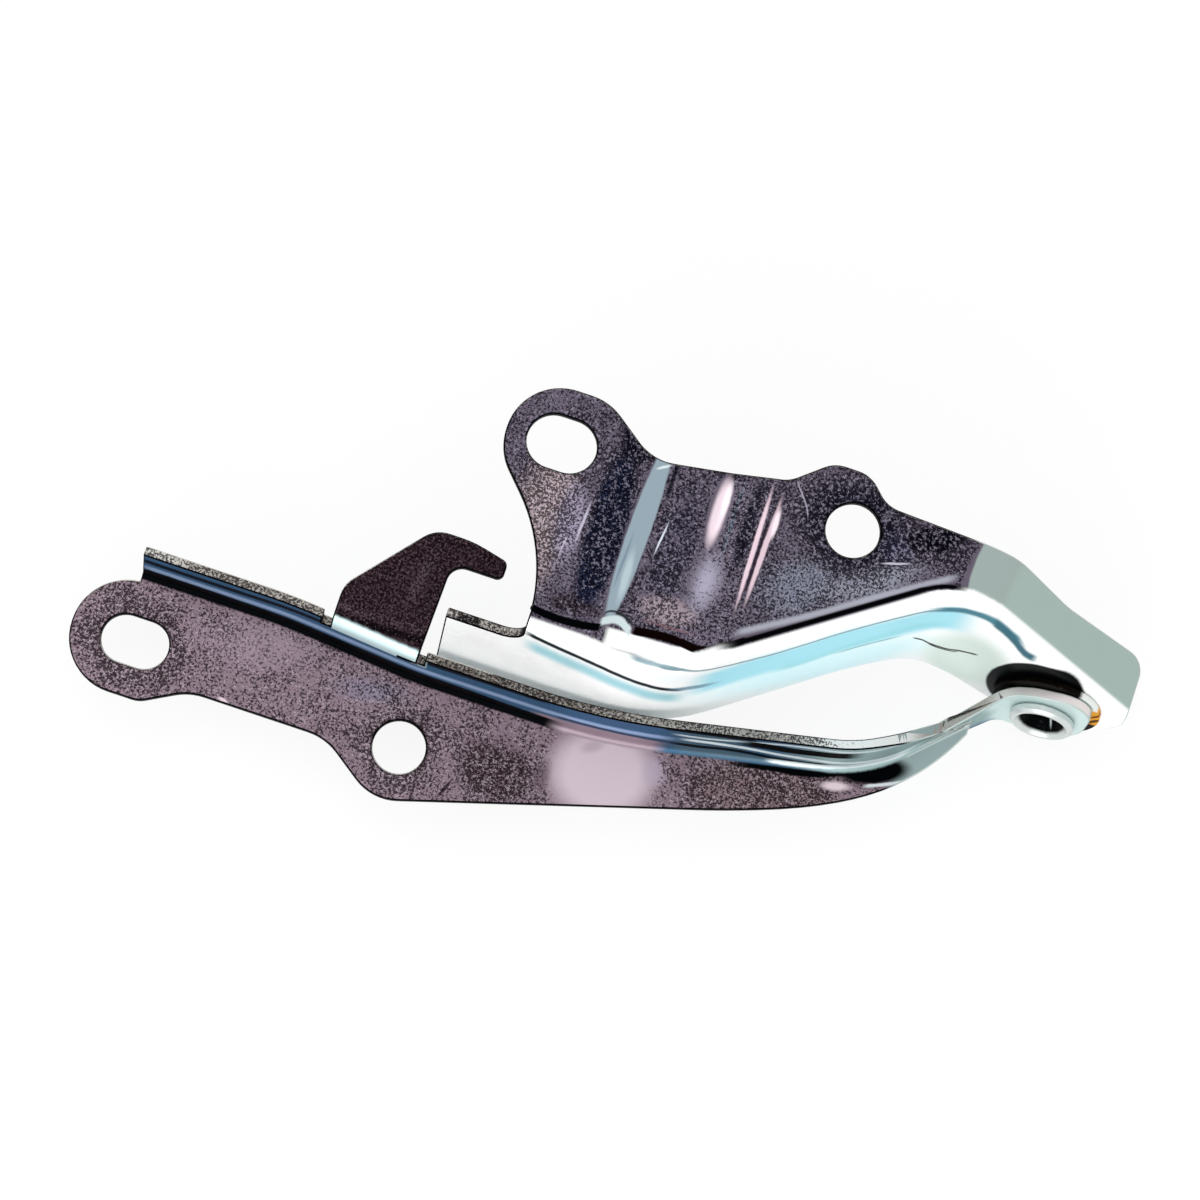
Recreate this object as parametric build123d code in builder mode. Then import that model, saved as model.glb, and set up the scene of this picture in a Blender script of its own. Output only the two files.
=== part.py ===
from build123d import *
import math
import os

os.makedirs("parts", exist_ok=True)

# Hood hinge of pressed, zinc-plated steel sheet, shown closed. Millimetres.
# X runs along the hinge towards the pivot, Z is square to the bolting flats.
# The origin is the centre of the bracket's round bolt hole, on its mounting face.
# "Depth" is measured square to the upright webs, from the ear's outer face away from the flat.
# "Height" is measured up the webs, from the pivot line.

# Sheet
SHEET = 2.4
BEND_OUTSIDE = 4.4
WEB_LEAN = 14.0

# Pivot line
PIVOT_X = 135.2
PIVOT_Y = 52.6
PIVOT_Z = 3.9
WEB_GAP = 1.6
JOG = 35.4

# Bolt holes
ROUND_HOLE = 12.0
BRACKET_SLOT_X = -63.6
BRACKET_SLOT_Y = 3.7
BRACKET_SLOT_LENGTH = 15.5
BRACKET_SLOT_WIDTH = 11.0
ARM_SLOT_X = 13.6
ARM_SLOT_Y = 70.0
ARM_SLOT_LENGTH = 15.5
ARM_SLOT_WIDTH = 12.0
ARM_HOLE_X = 79.5
ARM_HOLE_Y = 72.2
ARM_FLAT_TOP = 40.0

# Bracket web, seen along its height: its inner face from left to right
BRACKET_LEFT_X = -67.0
TAIL_DEPTH = 2.7
TAIL_END_X = -38.0
TAIL_TURN = 5.0
TAIL_RADIUS = 120.0
SWEEP_RADIUS = 150.0
SWEEP_TURN = 11.5
SWEEP_RUN = 35.0
RISE_RADIUS = 34.0
RISE_TURN = 43.0
EAR_BEND_RADIUS = 5.5
EAR_FLAT = 6.9

# Bracket web, seen square to it
WEB_TOP = 1.7
SHOULDER_TOP = 4.9
SHOULDER_BACK = 32.2
NECK_BACK = 20.2
NECK_DROP = 6.1
NECK_RADIUS = 3.4
EAR_RADIUS = 9.8
EAR_CORNER_OUT = 3.2
EAR_CORNER_UP = 4.2
EAR_CORNER_RADIUS = 6.6

# Bracket flat
PAD_LEFT = 14.9
PAD_TOP = 13.3
PAD_BOTTOM = 12.5
PAD_RIGHT = 5.1
PAD_STRAIGHT = 0.5
PAD_NECK_RADIUS = 6.0
PAD_NECK_ANGLE = 29.0
WAIST_Y = -3.2
WAIST_RADIUS = 13.0
APPROACH_ANGLE = 35.0
HOLE_PAD_RADIUS = 12.0
FRONT_EDGE_ANGLE = 16.8
FRONT_CURVE_BACK = 71.2
FRONT_CURVE_START = 34.0
FRONT_CURVE_END = 21.0
FLAT_END_BACK = 14.9
FLAT_END_SIDE = 9.1
FLAT_END_ANGLE = 64.0

# Hook
HOOK_TOP = 14.2
HOOK_LEFT_X = -22.8
HOOK_RIGHT_X = -2.5
HOOK_SHOULDER_Y = 29.4
HOOK_BACK_X = -7.4
HOOK_CREST_X = 1.5
HOOK_CREST_Y = 47.6
HOOK_TIP_X = 10.2
HOOK_TIP_Y = 45.6
HOOK_THROAT_X = -1.4
HOOK_THROAT_Y = 41.3
HOOK_THROAT_RADIUS = 3.5
HOOK_TIP_RADIUS = 1.6
HOOK_BACK_RADIUS = 7.0
HOOK_CREST_RADIUS = 25.0
RELIEF_WIDTH = 2.2
RELIEF_DEPTH = 3.2

# Arm web, seen along its height: its face towards the bracket
TAB_LEFT_X = 1.5
ARM_JOG_RADIUS = 40.0
ARM_JOG_TURN = 34.0
ARM_JOG_END_RADIUS = 18.0
ARM_STRAIGHT_BACK = 26.5

# Arm web, seen square to it
TAB_TOP = 20.8
TAB_FILLET = 5.0
ARM_WEB_BOTTOM = -4.0
ARCH_START_BACK = 73.2
ARCH_BACK = 44.2
ARCH_TOP = 3.0
ARCH_RADIUS = 25.0
ARCH_END = -3.0
LOBE_SLOPE = 29.0
LOBE_RADIUS = 13.5
LOBE_REACH = 9.5
END_CORNER_RADIUS = 8.0

# Arm flat, seen from above
ARM_LEFT_X = 18.8
ARM_LEFT_BEND_Y = 46.0
ARM_LEFT_RADIUS = 38.0
ARM_PAD_LEFT = 12.5
ARM_PAD_TOP = 12.2
ARM_PAD_RIGHT = 7.0
ARM_PAD_BOTTOM = 5.5
ARM_WAIST_X = 33.0
ARM_WAIST_Y = 73.2
ARM_WAIST_RADIUS = 10.0
CREST_TOP = 12.9
CREST_FLAT = 8.3
CREST_LEFT = 16.5
CREST_LEFT_DROP = 6.9
CREST_RIGHT = 5.5
CREST_RIGHT_DROP = 5.4
CREST_RADIUS = 7.0
SHOULDER_EDGE_BACK = 18.2
SHOULDER_EDGE_Y = 78.4
TAPER_EDGE_BACK = 4.2
TAPER_EDGE_Y = 74.3
BACK_EDGE_RADIUS = 20.0
ARM_END_REACH = 18.0
ARM_END_Y = 71.7
ARM_END_RADIUS = 4.5

# Arm flat, seen from the side: a shallow trough between the two pads, then the drop to the pivot
TROUGH_DROP = 2.0
TROUGH_LEFT_TOP_X = 32.6
TROUGH_LEFT_FOOT_X = 38.0
TROUGH_RIGHT_FOOT_X = 51.0
TROUGH_RIGHT_TOP_X = 60.5
TROUGH_RADIUS = 10.0
DROP_BACK = 23.4
DROP_RADIUS = 16.0
DROP_ANGLE = 39.5

# Rivet, bush and washer
RIVET_RADIUS = 5.0
RIVET_BORE = 3.0
RIVET_BORE_DEPTH = 4.5
RIVET_HEAD_RADIUS = 7.4
RIVET_HEAD_HEIGHT = 2.4
RIVET_MOUTH_RADIUS = 5.4
RIVET_LIP_CHAMFER = 0.6
RIVET_THROAT_DEPTH = 1.0
RIVET_FIT = 0.05
RUNNING_FIT = 0.08
END_PLAY = 0.1
BUSH_WALL = 1.4
BUSH_FLANGE_RADIUS = 12.4
BUSH_CHAMFER = 0.2
WASHER_RADIUS = 9.5
WASHER_THICKNESS = 1.5
TAIL_HEAD_RADIUS = 7.0
TAIL_HEAD_HEIGHT = 2.6

# Larger than any part of the hinge is wide or high, for cutting right through
BEYOND = 120.0

lean = math.radians(WEB_LEAN)
web_normal = Vector(0, math.cos(lean), -math.sin(lean))
web_height = Vector(0, math.sin(lean), math.cos(lean))

# Seen along the web's height: X and depth; and square to the web: X and height
along_web = Plane(origin=(0, PIVOT_Y, PIVOT_Z), x_dir=(1, 0, 0), z_dir=web_height)
square_to_web = Plane(origin=(0, PIVOT_Y, PIVOT_Z), x_dir=(1, 0, 0), z_dir=web_normal * -1)
pivot_section = Plane(origin=(PIVOT_X, PIVOT_Y, PIVOT_Z), x_dir=(1, 0, 0), z_dir=web_height)
pivot_line = Axis((PIVOT_X, PIVOT_Y, PIVOT_Z), web_normal)

# Depths of the pivot's pieces, from the ear's outer face
arm_front = SHEET + WEB_GAP
arm_back = arm_front + SHEET
bush_front = SHEET + END_PLAY
washer_front = arm_back + END_PLAY
rivet_seat = washer_front + WASHER_THICKNESS


def sine(angle):
    return math.sin(math.radians(angle))


def cosine(angle):
    return math.cos(math.radians(angle))


def trace(start, runs, inset):
    """Draw runs one after another, each tangent to the last: straight lengths, and arcs by radius
    and turn, a left turn positive. The curve drawn lies the inset deeper than the one described."""
    tip = start + Vector(0, inset)
    heading = Vector(1, 0)
    for size, turn in runs:
        if turn is None:
            run = PolarLine(tip, size, direction=heading)
        elif turn > 0:
            run = JernArc(tip, heading, size - inset, turn)
        else:
            run = JernArc(tip, heading, size + inset, turn)
        tip, heading = run @ 1, run % 1
    return tip


def rounded(corners):
    """Draw a closed outline through corners, each given with its own radius."""
    points = [point for point, radius in corners]
    FilletPolyline(points, radius=[radius for point, radius in corners], close=True)


# Bracket web's curve: a tail set a little deeper, a straight, a slow sweep and a steep rise to the ear
sweep_depth = (
    SWEEP_RADIUS * (1 - cosine(SWEEP_TURN))
    + SWEEP_RUN * sine(SWEEP_TURN)
    + RISE_RADIUS * (cosine(SWEEP_TURN) - cosine(RISE_TURN))
    + EAR_BEND_RADIUS * (1 - cosine(RISE_TURN))
)
rise_run = (JOG - sweep_depth) / sine(RISE_TURN)
sweep_length = (
    SWEEP_RADIUS * sine(SWEEP_TURN)
    + SWEEP_RUN * cosine(SWEEP_TURN)
    + RISE_RADIUS * (sine(RISE_TURN) - sine(SWEEP_TURN))
    + rise_run * cosine(RISE_TURN)
    + EAR_BEND_RADIUS * sine(RISE_TURN)
)
sweep_start_x = PIVOT_X - EAR_FLAT - sweep_length
tail_run = (TAIL_DEPTH - 2 * TAIL_RADIUS * (1 - cosine(TAIL_TURN))) / sine(TAIL_TURN)
tail_length = 2 * TAIL_RADIUS * sine(TAIL_TURN) + tail_run * cosine(TAIL_TURN)
bracket_start = Vector(BRACKET_SLOT_X - PAD_LEFT - SHEET, TAIL_DEPTH - JOG)
bracket_runs = [
    (TAIL_END_X - bracket_start.X, None),
    (TAIL_RADIUS, -TAIL_TURN),
    (tail_run, None),
    (TAIL_RADIUS, TAIL_TURN),
    (sweep_start_x - TAIL_END_X - tail_length, None),
    (SWEEP_RADIUS, SWEEP_TURN),
    (SWEEP_RUN, None),
    (RISE_RADIUS, RISE_TURN - SWEEP_TURN),
    (rise_run, None),
    (EAR_BEND_RADIUS, -RISE_TURN),
    (BEYOND, None),
]

# Arm web's curve: straight, a jog, and straight past the pivot
arm_jog_radii = ARM_JOG_RADIUS + ARM_JOG_END_RADIUS
arm_jog_run = (JOG - arm_jog_radii * (1 - cosine(ARM_JOG_TURN))) / sine(ARM_JOG_TURN)
arm_jog_length = arm_jog_radii * sine(ARM_JOG_TURN) + arm_jog_run * cosine(ARM_JOG_TURN)
arm_start = Vector(TAB_LEFT_X - SHEET, arm_front - JOG)
arm_runs = [
    (PIVOT_X - ARM_STRAIGHT_BACK - arm_jog_length - arm_start.X, None),
    (ARM_JOG_RADIUS, ARM_JOG_TURN),
    (arm_jog_run, None),
    (ARM_JOG_END_RADIUS, -ARM_JOG_TURN),
    (ARM_STRAIGHT_BACK + BEYOND / 2, None),
]


def draw_bracket_outline():
    """Draw the bracket's flat from above, with room behind for the web."""
    left = BRACKET_SLOT_X - PAD_LEFT
    right = BRACKET_SLOT_X + PAD_RIGHT
    top = BRACKET_SLOT_Y + PAD_TOP
    bottom = BRACKET_SLOT_Y - PAD_BOTTOM
    pad_radius = (top - bottom - PAD_STRAIGHT) / 2
    waist_start_x = right + (WAIST_Y - bottom) / math.tan(math.radians(PAD_NECK_ANGLE))

    # Round the bolt hole, the approach and the front edge both touch the hole pad's circle
    middle = (FRONT_EDGE_ANGLE - APPROACH_ANGLE) / 2
    reach = HOLE_PAD_RADIUS / cosine((FRONT_EDGE_ANGLE + APPROACH_ANGLE) / 2)
    pad_corner = Vector(sine(middle), -cosine(middle)) * reach
    waist_end_x = pad_corner.X - (WAIST_Y - pad_corner.Y) / math.tan(math.radians(APPROACH_ANGLE))

    # The front edge sweeps up towards the ear
    end = Vector(PIVOT_X - FLAT_END_BACK, PIVOT_Y - FLAT_END_SIDE)
    front_run = Vector(cosine(FRONT_EDGE_ANGLE), sine(FRONT_EDGE_ANGLE))
    end_run = Vector(cosine(FLAT_END_ANGLE), sine(FLAT_END_ANGLE))
    front_length = (PIVOT_X - FRONT_CURVE_BACK - pad_corner.X) / front_run.X
    curve_start = pad_corner + front_run * front_length
    corners = [
        ((curve_start.X, curve_start.Y), 0),
        ((pad_corner.X, pad_corner.Y), HOLE_PAD_RADIUS),
        ((waist_end_x, WAIST_Y), WAIST_RADIUS),
        ((waist_start_x, WAIST_Y), WAIST_RADIUS),
        ((right, bottom), PAD_NECK_RADIUS),
        ((left, bottom), pad_radius),
        ((left, top), pad_radius),
        ((right, top), 0),
        ((right, BEYOND), 0),
        ((end.X, BEYOND), 0),
        ((end.X, end.Y), 0),
    ]
    points = [point for point, radius in corners]
    FilletPolyline(points, radius=[radius for point, radius in corners[1:-1]])
    Bezier(end, end - end_run * FRONT_CURVE_END, curve_start + front_run * FRONT_CURVE_START, curve_start)


def hook_outline():
    """The hook from above, from its root round the throat, the tip and the back."""
    return [
        ((HOOK_LEFT_X, 0), 0),
        ((HOOK_RIGHT_X, 0), 0),
        ((HOOK_THROAT_X, HOOK_THROAT_Y), HOOK_THROAT_RADIUS),
        ((HOOK_TIP_X, HOOK_THROAT_Y), HOOK_TIP_RADIUS),
        ((HOOK_TIP_X, HOOK_TIP_Y), HOOK_TIP_RADIUS),
        ((HOOK_CREST_X, HOOK_CREST_Y), HOOK_CREST_RADIUS),
        ((HOOK_BACK_X, HOOK_CREST_Y), HOOK_BACK_RADIUS),
        ((HOOK_LEFT_X, HOOK_SHOULDER_Y), HOOK_BACK_RADIUS),
    ]


def arm_outline():
    """The arm from above, with room in front for the web: corners and radii."""
    left = ARM_SLOT_X - ARM_PAD_LEFT
    top = ARM_SLOT_Y + ARM_PAD_TOP
    tab_back = PIVOT_Y + (arm_front - JOG + SHEET) * math.cos(lean) + TAB_TOP * math.sin(lean) + SHEET / 2
    crest_y = ARM_HOLE_Y + CREST_TOP
    return [
        ((TAB_LEFT_X, -BEYOND), 0),
        ((PIVOT_X + ARM_END_REACH, -BEYOND), 0),
        ((PIVOT_X + ARM_END_REACH, ARM_END_Y), ARM_END_RADIUS),
        ((PIVOT_X - TAPER_EDGE_BACK, TAPER_EDGE_Y), BACK_EDGE_RADIUS),
        ((PIVOT_X - SHOULDER_EDGE_BACK, SHOULDER_EDGE_Y), BACK_EDGE_RADIUS),
        ((ARM_HOLE_X + CREST_RIGHT, crest_y - CREST_RIGHT_DROP), CREST_RADIUS),
        ((ARM_HOLE_X, crest_y), CREST_RADIUS),
        ((ARM_HOLE_X - CREST_FLAT, crest_y), CREST_RADIUS),
        ((ARM_HOLE_X - CREST_LEFT, crest_y - CREST_LEFT_DROP), CREST_RADIUS),
        ((ARM_WAIST_X, ARM_WAIST_Y), ARM_WAIST_RADIUS),
        ((ARM_SLOT_X + ARM_PAD_RIGHT, top), ARM_PAD_TOP),
        ((left, top), ARM_PAD_TOP),
        ((left, ARM_SLOT_Y - ARM_PAD_BOTTOM), ARM_PAD_TOP),
        ((ARM_LEFT_X, ARM_LEFT_BEND_Y), ARM_LEFT_RADIUS),
        ((ARM_LEFT_X, tab_back), 0),
        ((TAB_LEFT_X, tab_back), 0),
    ]


# Bracket's flat and web: a block over the flat, rounded along the bend and hollowed to the sheet
with BuildPart() as bracket_shell:
    with BuildSketch(along_web):
        with BuildLine():
            start = bracket_start + Vector(0, SHEET)
            tip = trace(bracket_start, bracket_runs, SHEET)
            Polyline(tip, (tip.X, start.Y - BEYOND), (start.X, start.Y - BEYOND), start)
        make_face()
    extrude(amount=BEYOND, both=True)
    with BuildSketch(Plane.XY):
        Rectangle(4 * BEYOND, 4 * BEYOND)
    extrude(amount=BEYOND / 4, mode=Mode.INTERSECT)
    floor = bracket_shell.faces().sort_by(Axis.Z)[0]
    web_faces = bracket_shell.faces().filter_by(lambda face: face.normal_at().Y > 0.5)
    fillet(web_faces.edges() & floor.edges(), BEND_OUTSIDE)
    open_sides = [
        bracket_shell.faces().sort_by(Axis.Z)[-1],
        bracket_shell.faces().sort_by(Axis.Y)[0],
        bracket_shell.faces().sort_by(Axis.X)[0],
        bracket_shell.faces().sort_by(Axis.X)[-1],
    ]
    offset(amount=-SHEET, openings=open_sides)

# Hook and the strip of web under it: the same curve, with its bend on the top edge
with BuildPart() as hook:
    with BuildSketch(along_web):
        with BuildLine():
            tip = trace(bracket_start, bracket_runs, 0)
            Polyline(tip, (tip.X, BEYOND), (bracket_start.X, BEYOND), bracket_start)
        make_face()
    extrude(amount=BEYOND, both=True)
    with BuildSketch(Plane.XY.offset(HOOK_TOP)):
        Rectangle(4 * BEYOND, 4 * BEYOND)
    extrude(amount=-BEND_OUTSIDE - RELIEF_DEPTH, mode=Mode.INTERSECT)
    roof = hook.faces().sort_by(Axis.Z)[-1]
    web_faces = hook.faces().filter_by(lambda face: face.normal_at().Y < -0.5)
    fillet(web_faces.edges() & roof.edges(), BEND_OUTSIDE)
    open_sides = [
        hook.faces().sort_by(Axis.Z)[0],
        hook.faces().sort_by(Axis.Y)[-1],
        hook.faces().sort_by(Axis.X)[0],
        hook.faces().sort_by(Axis.X)[-1],
    ]
    offset(amount=-SHEET, openings=open_sides)
    with BuildSketch(Plane.XY):
        with BuildLine():
            rounded(hook_outline())
        make_face()
    extrude(amount=BEYOND, mode=Mode.INTERSECT)

# Ear round the rivet, and the neck that joins it to the web
with BuildPart() as ear:
    with BuildSketch(along_web):
        with BuildLine():
            near = trace(bracket_start, bracket_runs, 0)
            far = trace(bracket_start, bracket_runs, SHEET)
            Line(near, far)
            Line(bracket_start, bracket_start + Vector(0, SHEET))
        make_face()
    extrude(amount=BEYOND, both=True)
    with BuildSketch(square_to_web):
        with Locations((PIVOT_X, 0)):
            Circle(EAR_RADIUS)
        with Locations((PIVOT_X + EAR_CORNER_OUT, EAR_CORNER_UP)):
            Circle(EAR_CORNER_RADIUS)
        with Locations((PIVOT_X - NECK_BACK, -NECK_DROP)):
            Circle(NECK_RADIUS)
        make_hull()
    extrude(amount=BEYOND, both=True, mode=Mode.INTERSECT)

with BuildPart() as body_bracket:
    add(bracket_shell.part)
    with BuildSketch(Plane.XY):
        with BuildLine():
            draw_bracket_outline()
        make_face()
        with Locations((BRACKET_LEFT_X, BRACKET_SLOT_Y)):
            Rectangle(PAD_LEFT, BEYOND, align=(Align.MIN, Align.MIN))
    extrude(amount=BEYOND, mode=Mode.INTERSECT)
    with BuildSketch(square_to_web):
        with BuildLine():
            neck_top = NECK_RADIUS - NECK_DROP
            rounded([
                ((-BEYOND, -BEYOND), 0),
                ((PIVOT_X + BEYOND, -BEYOND), 0),
                ((PIVOT_X + BEYOND, neck_top), 0),
                ((PIVOT_X - NECK_BACK, neck_top), EAR_RADIUS),
                ((PIVOT_X - SHOULDER_BACK, SHOULDER_TOP), EAR_RADIUS),
                ((sweep_start_x, WEB_TOP), SWEEP_RADIUS),
                ((-BEYOND, WEB_TOP), 0),
            ])
        make_face()
    extrude(amount=BEYOND, both=True, mode=Mode.INTERSECT)
    with BuildSketch(square_to_web):
        with Locations(((HOOK_LEFT_X + HOOK_RIGHT_X) / 2, WEB_TOP)):
            Rectangle(HOOK_RIGHT_X - HOOK_LEFT_X + 2 * RELIEF_WIDTH, 2 * RELIEF_DEPTH)
    extrude(amount=BEYOND, both=True, mode=Mode.SUBTRACT)
    add(hook.part)
    add(ear.part)
    with BuildSketch(Plane.XY):
        Circle(ROUND_HOLE / 2)
        with Locations((BRACKET_SLOT_X, BRACKET_SLOT_Y)):
            SlotOverall(BRACKET_SLOT_LENGTH, BRACKET_SLOT_WIDTH)
    extrude(amount=SHEET, mode=Mode.SUBTRACT)
    with BuildSketch(square_to_web):
        with Locations((PIVOT_X, 0)):
            Circle(RIVET_RADIUS + RIVET_FIT)
    extrude(amount=-SHEET, mode=Mode.SUBTRACT)
body_bracket.part.label = "body_bracket"
export_step(body_bracket.part, "parts/body_bracket.step")

# Arm's flat and web: a block under the flat, rounded along the bend and hollowed to the sheet
with BuildPart() as arm_shell:
    with BuildSketch(along_web):
        with BuildLine():
            tip = trace(arm_start, arm_runs, 0)
            Polyline(tip, (tip.X, BEYOND), (arm_start.X, BEYOND), arm_start)
        make_face()
    extrude(amount=BEYOND, both=True)
    with BuildSketch(Plane.XZ):
        with BuildLine():
            drop_x = PIVOT_X - DROP_BACK
            end_x = PIVOT_X + BEYOND
            end_z = ARM_FLAT_TOP - (end_x - drop_x) * math.tan(math.radians(DROP_ANGLE))
            trough_z = ARM_FLAT_TOP - TROUGH_DROP
            top_edge = [
                ((-BEYOND, -BEYOND), 0),
                ((end_x, -BEYOND), 0),
                ((end_x, end_z), 0),
                ((drop_x, ARM_FLAT_TOP), DROP_RADIUS),
                ((TROUGH_RIGHT_TOP_X, ARM_FLAT_TOP), TROUGH_RADIUS),
                ((TROUGH_RIGHT_FOOT_X, trough_z), TROUGH_RADIUS),
                ((TROUGH_LEFT_FOOT_X, trough_z), TROUGH_RADIUS),
                ((TROUGH_LEFT_TOP_X, ARM_FLAT_TOP), TROUGH_RADIUS),
                ((-BEYOND, ARM_FLAT_TOP), 0),
            ]
            rounded(top_edge)
        make_face()
    extrude(amount=2 * BEYOND, both=True, mode=Mode.INTERSECT)
    web_faces = arm_shell.faces().filter_by(lambda face: face.normal_at().Y < -0.5)
    top_faces = arm_shell.faces().filter_by(lambda face: face.normal_at().Z > 0.5)
    fillet(web_faces.edges() & top_faces.edges(), BEND_OUTSIDE)
    open_sides = [
        arm_shell.faces().sort_by(Axis.Z)[0],
        arm_shell.faces().sort_by(Axis.Y)[-1],
        arm_shell.faces().sort_by(Axis.X)[0],
        arm_shell.faces().sort_by(Axis.X)[-1],
    ]
    offset(amount=-SHEET, openings=open_sides)

with BuildPart() as hood_arm:
    add(arm_shell.part)
    with BuildSketch(Plane.XY):
        with BuildLine():
            rounded(arm_outline())
        make_face()
    extrude(amount=BEYOND, both=True, mode=Mode.INTERSECT)
    with BuildSketch(square_to_web):
        with BuildLine():
            lobe_x = PIVOT_X - LOBE_RADIUS * math.tan(math.radians(LOBE_SLOPE / 2))
            arch_end_x = lobe_x - (LOBE_RADIUS + ARCH_END) / math.tan(math.radians(LOBE_SLOPE))
            end_x = PIVOT_X + ARM_END_REACH
            rounded([
                ((-BEYOND, BEYOND), 0),
                ((-BEYOND, ARM_WEB_BOTTOM), 0),
                ((PIVOT_X - ARCH_START_BACK, ARM_WEB_BOTTOM), ARCH_RADIUS),
                ((PIVOT_X - ARCH_BACK, ARCH_TOP), ARCH_RADIUS),
                ((arch_end_x, ARCH_END), LOBE_RADIUS),
                ((lobe_x, -LOBE_RADIUS), LOBE_RADIUS),
                ((PIVOT_X + LOBE_REACH, -LOBE_RADIUS), LOBE_RADIUS),
                ((end_x, 0), END_CORNER_RADIUS),
                ((end_x, BEYOND), 0),
            ])
        make_face()
    extrude(amount=BEYOND, both=True, mode=Mode.INTERSECT)
    with BuildSketch(square_to_web.offset(JOG - arm_back - SHEET)):
        with BuildLine():
            rounded([
                ((-BEYOND, TAB_TOP), 0),
                ((ARM_LEFT_X, TAB_TOP), TAB_FILLET),
                ((ARM_LEFT_X, BEYOND), 0),
                ((-BEYOND, BEYOND), 0),
            ])
        make_face()
    extrude(amount=BEYOND, mode=Mode.SUBTRACT)
    with BuildSketch(Plane.XY.offset(ARM_FLAT_TOP)):
        with Locations((ARM_HOLE_X, ARM_HOLE_Y)):
            Circle(ROUND_HOLE / 2)
        with Locations((ARM_SLOT_X, ARM_SLOT_Y)):
            SlotOverall(ARM_SLOT_LENGTH, ARM_SLOT_WIDTH)
    extrude(amount=-SHEET, mode=Mode.SUBTRACT)
    with BuildSketch(square_to_web):
        with Locations((PIVOT_X, 0)):
            Circle(RIVET_RADIUS + RUNNING_FIT + BUSH_WALL + RIVET_FIT)
    extrude(amount=-arm_back, mode=Mode.SUBTRACT)
hood_arm.part.label = "hood_arm"
export_step(hood_arm.part, "parts/hood_arm.step")

# Tubular rivet: flared head outside the ear, formed head behind the washer
with BuildPart() as pivot_rivet:
    with BuildSketch(pivot_section):
        with BuildLine():
            tail = rivet_seat + TAIL_HEAD_HEIGHT
            Polyline(
                (0, RIVET_BORE_DEPTH + RIVET_BORE / 2),
                (0, tail),
                (TAIL_HEAD_RADIUS - TAIL_HEAD_HEIGHT / 2, tail),
                (TAIL_HEAD_RADIUS, tail - TAIL_HEAD_HEIGHT / 2),
                (TAIL_HEAD_RADIUS, rivet_seat),
                (RIVET_RADIUS, rivet_seat),
                (RIVET_RADIUS, 0),
                (RIVET_HEAD_RADIUS - RIVET_LIP_CHAMFER, 0),
                (RIVET_HEAD_RADIUS, -RIVET_LIP_CHAMFER),
                (RIVET_HEAD_RADIUS, RIVET_LIP_CHAMFER - RIVET_HEAD_HEIGHT),
                (RIVET_HEAD_RADIUS - RIVET_LIP_CHAMFER, -RIVET_HEAD_HEIGHT),
                (RIVET_MOUTH_RADIUS + RIVET_LIP_CHAMFER, -RIVET_HEAD_HEIGHT),
                (RIVET_MOUTH_RADIUS, RIVET_LIP_CHAMFER - RIVET_HEAD_HEIGHT),
                (RIVET_BORE, RIVET_THROAT_DEPTH),
                (RIVET_BORE, RIVET_BORE_DEPTH),
                close=True,
            )
        make_face()
    revolve(axis=pivot_line)
pivot_rivet.part.label = "pivot_rivet"
export_step(pivot_rivet.part, "parts/pivot_rivet.step")

# Flanged bush, pressed into the arm and turning on the rivet
with BuildPart() as pivot_bush:
    with BuildSketch(pivot_section):
        with BuildLine():
            bush_inside = RIVET_RADIUS + RUNNING_FIT
            Polyline(
                (bush_inside, bush_front),
                (BUSH_FLANGE_RADIUS, bush_front),
                (BUSH_FLANGE_RADIUS, arm_front),
                (bush_inside + BUSH_WALL, arm_front),
                (bush_inside + BUSH_WALL, arm_back),
                (bush_inside, arm_back),
                close=True,
            )
        make_face()
    revolve(axis=pivot_line)
    chamfer(pivot_bush.edges().filter_by(GeomType.CIRCLE).sort_by(SortBy.RADIUS)[-2:], BUSH_CHAMFER)
pivot_bush.part.label = "pivot_bush"
export_step(pivot_bush.part, "parts/pivot_bush.step")

# Washer held under the rivet's formed head
with BuildPart() as rivet_washer:
    with BuildSketch(pivot_section):
        with BuildLine():
            Polyline(
                (RIVET_RADIUS + RIVET_FIT, washer_front),
                (WASHER_RADIUS, washer_front),
                (WASHER_RADIUS, rivet_seat),
                (RIVET_RADIUS + RIVET_FIT, rivet_seat),
                close=True,
            )
        make_face()
    revolve(axis=pivot_line)
rivet_washer.part.label = "rivet_washer"
export_step(rivet_washer.part, "parts/rivet_washer.step")
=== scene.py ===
"""Hood hinge of zinc-plated pressed steel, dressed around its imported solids."""

import logging
import math
from dataclasses import dataclass, field
from enum import Enum

import bmesh
import bpy
from mathutils import Matrix, Vector
from mathutils.bvhtree import BVHTree


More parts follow.
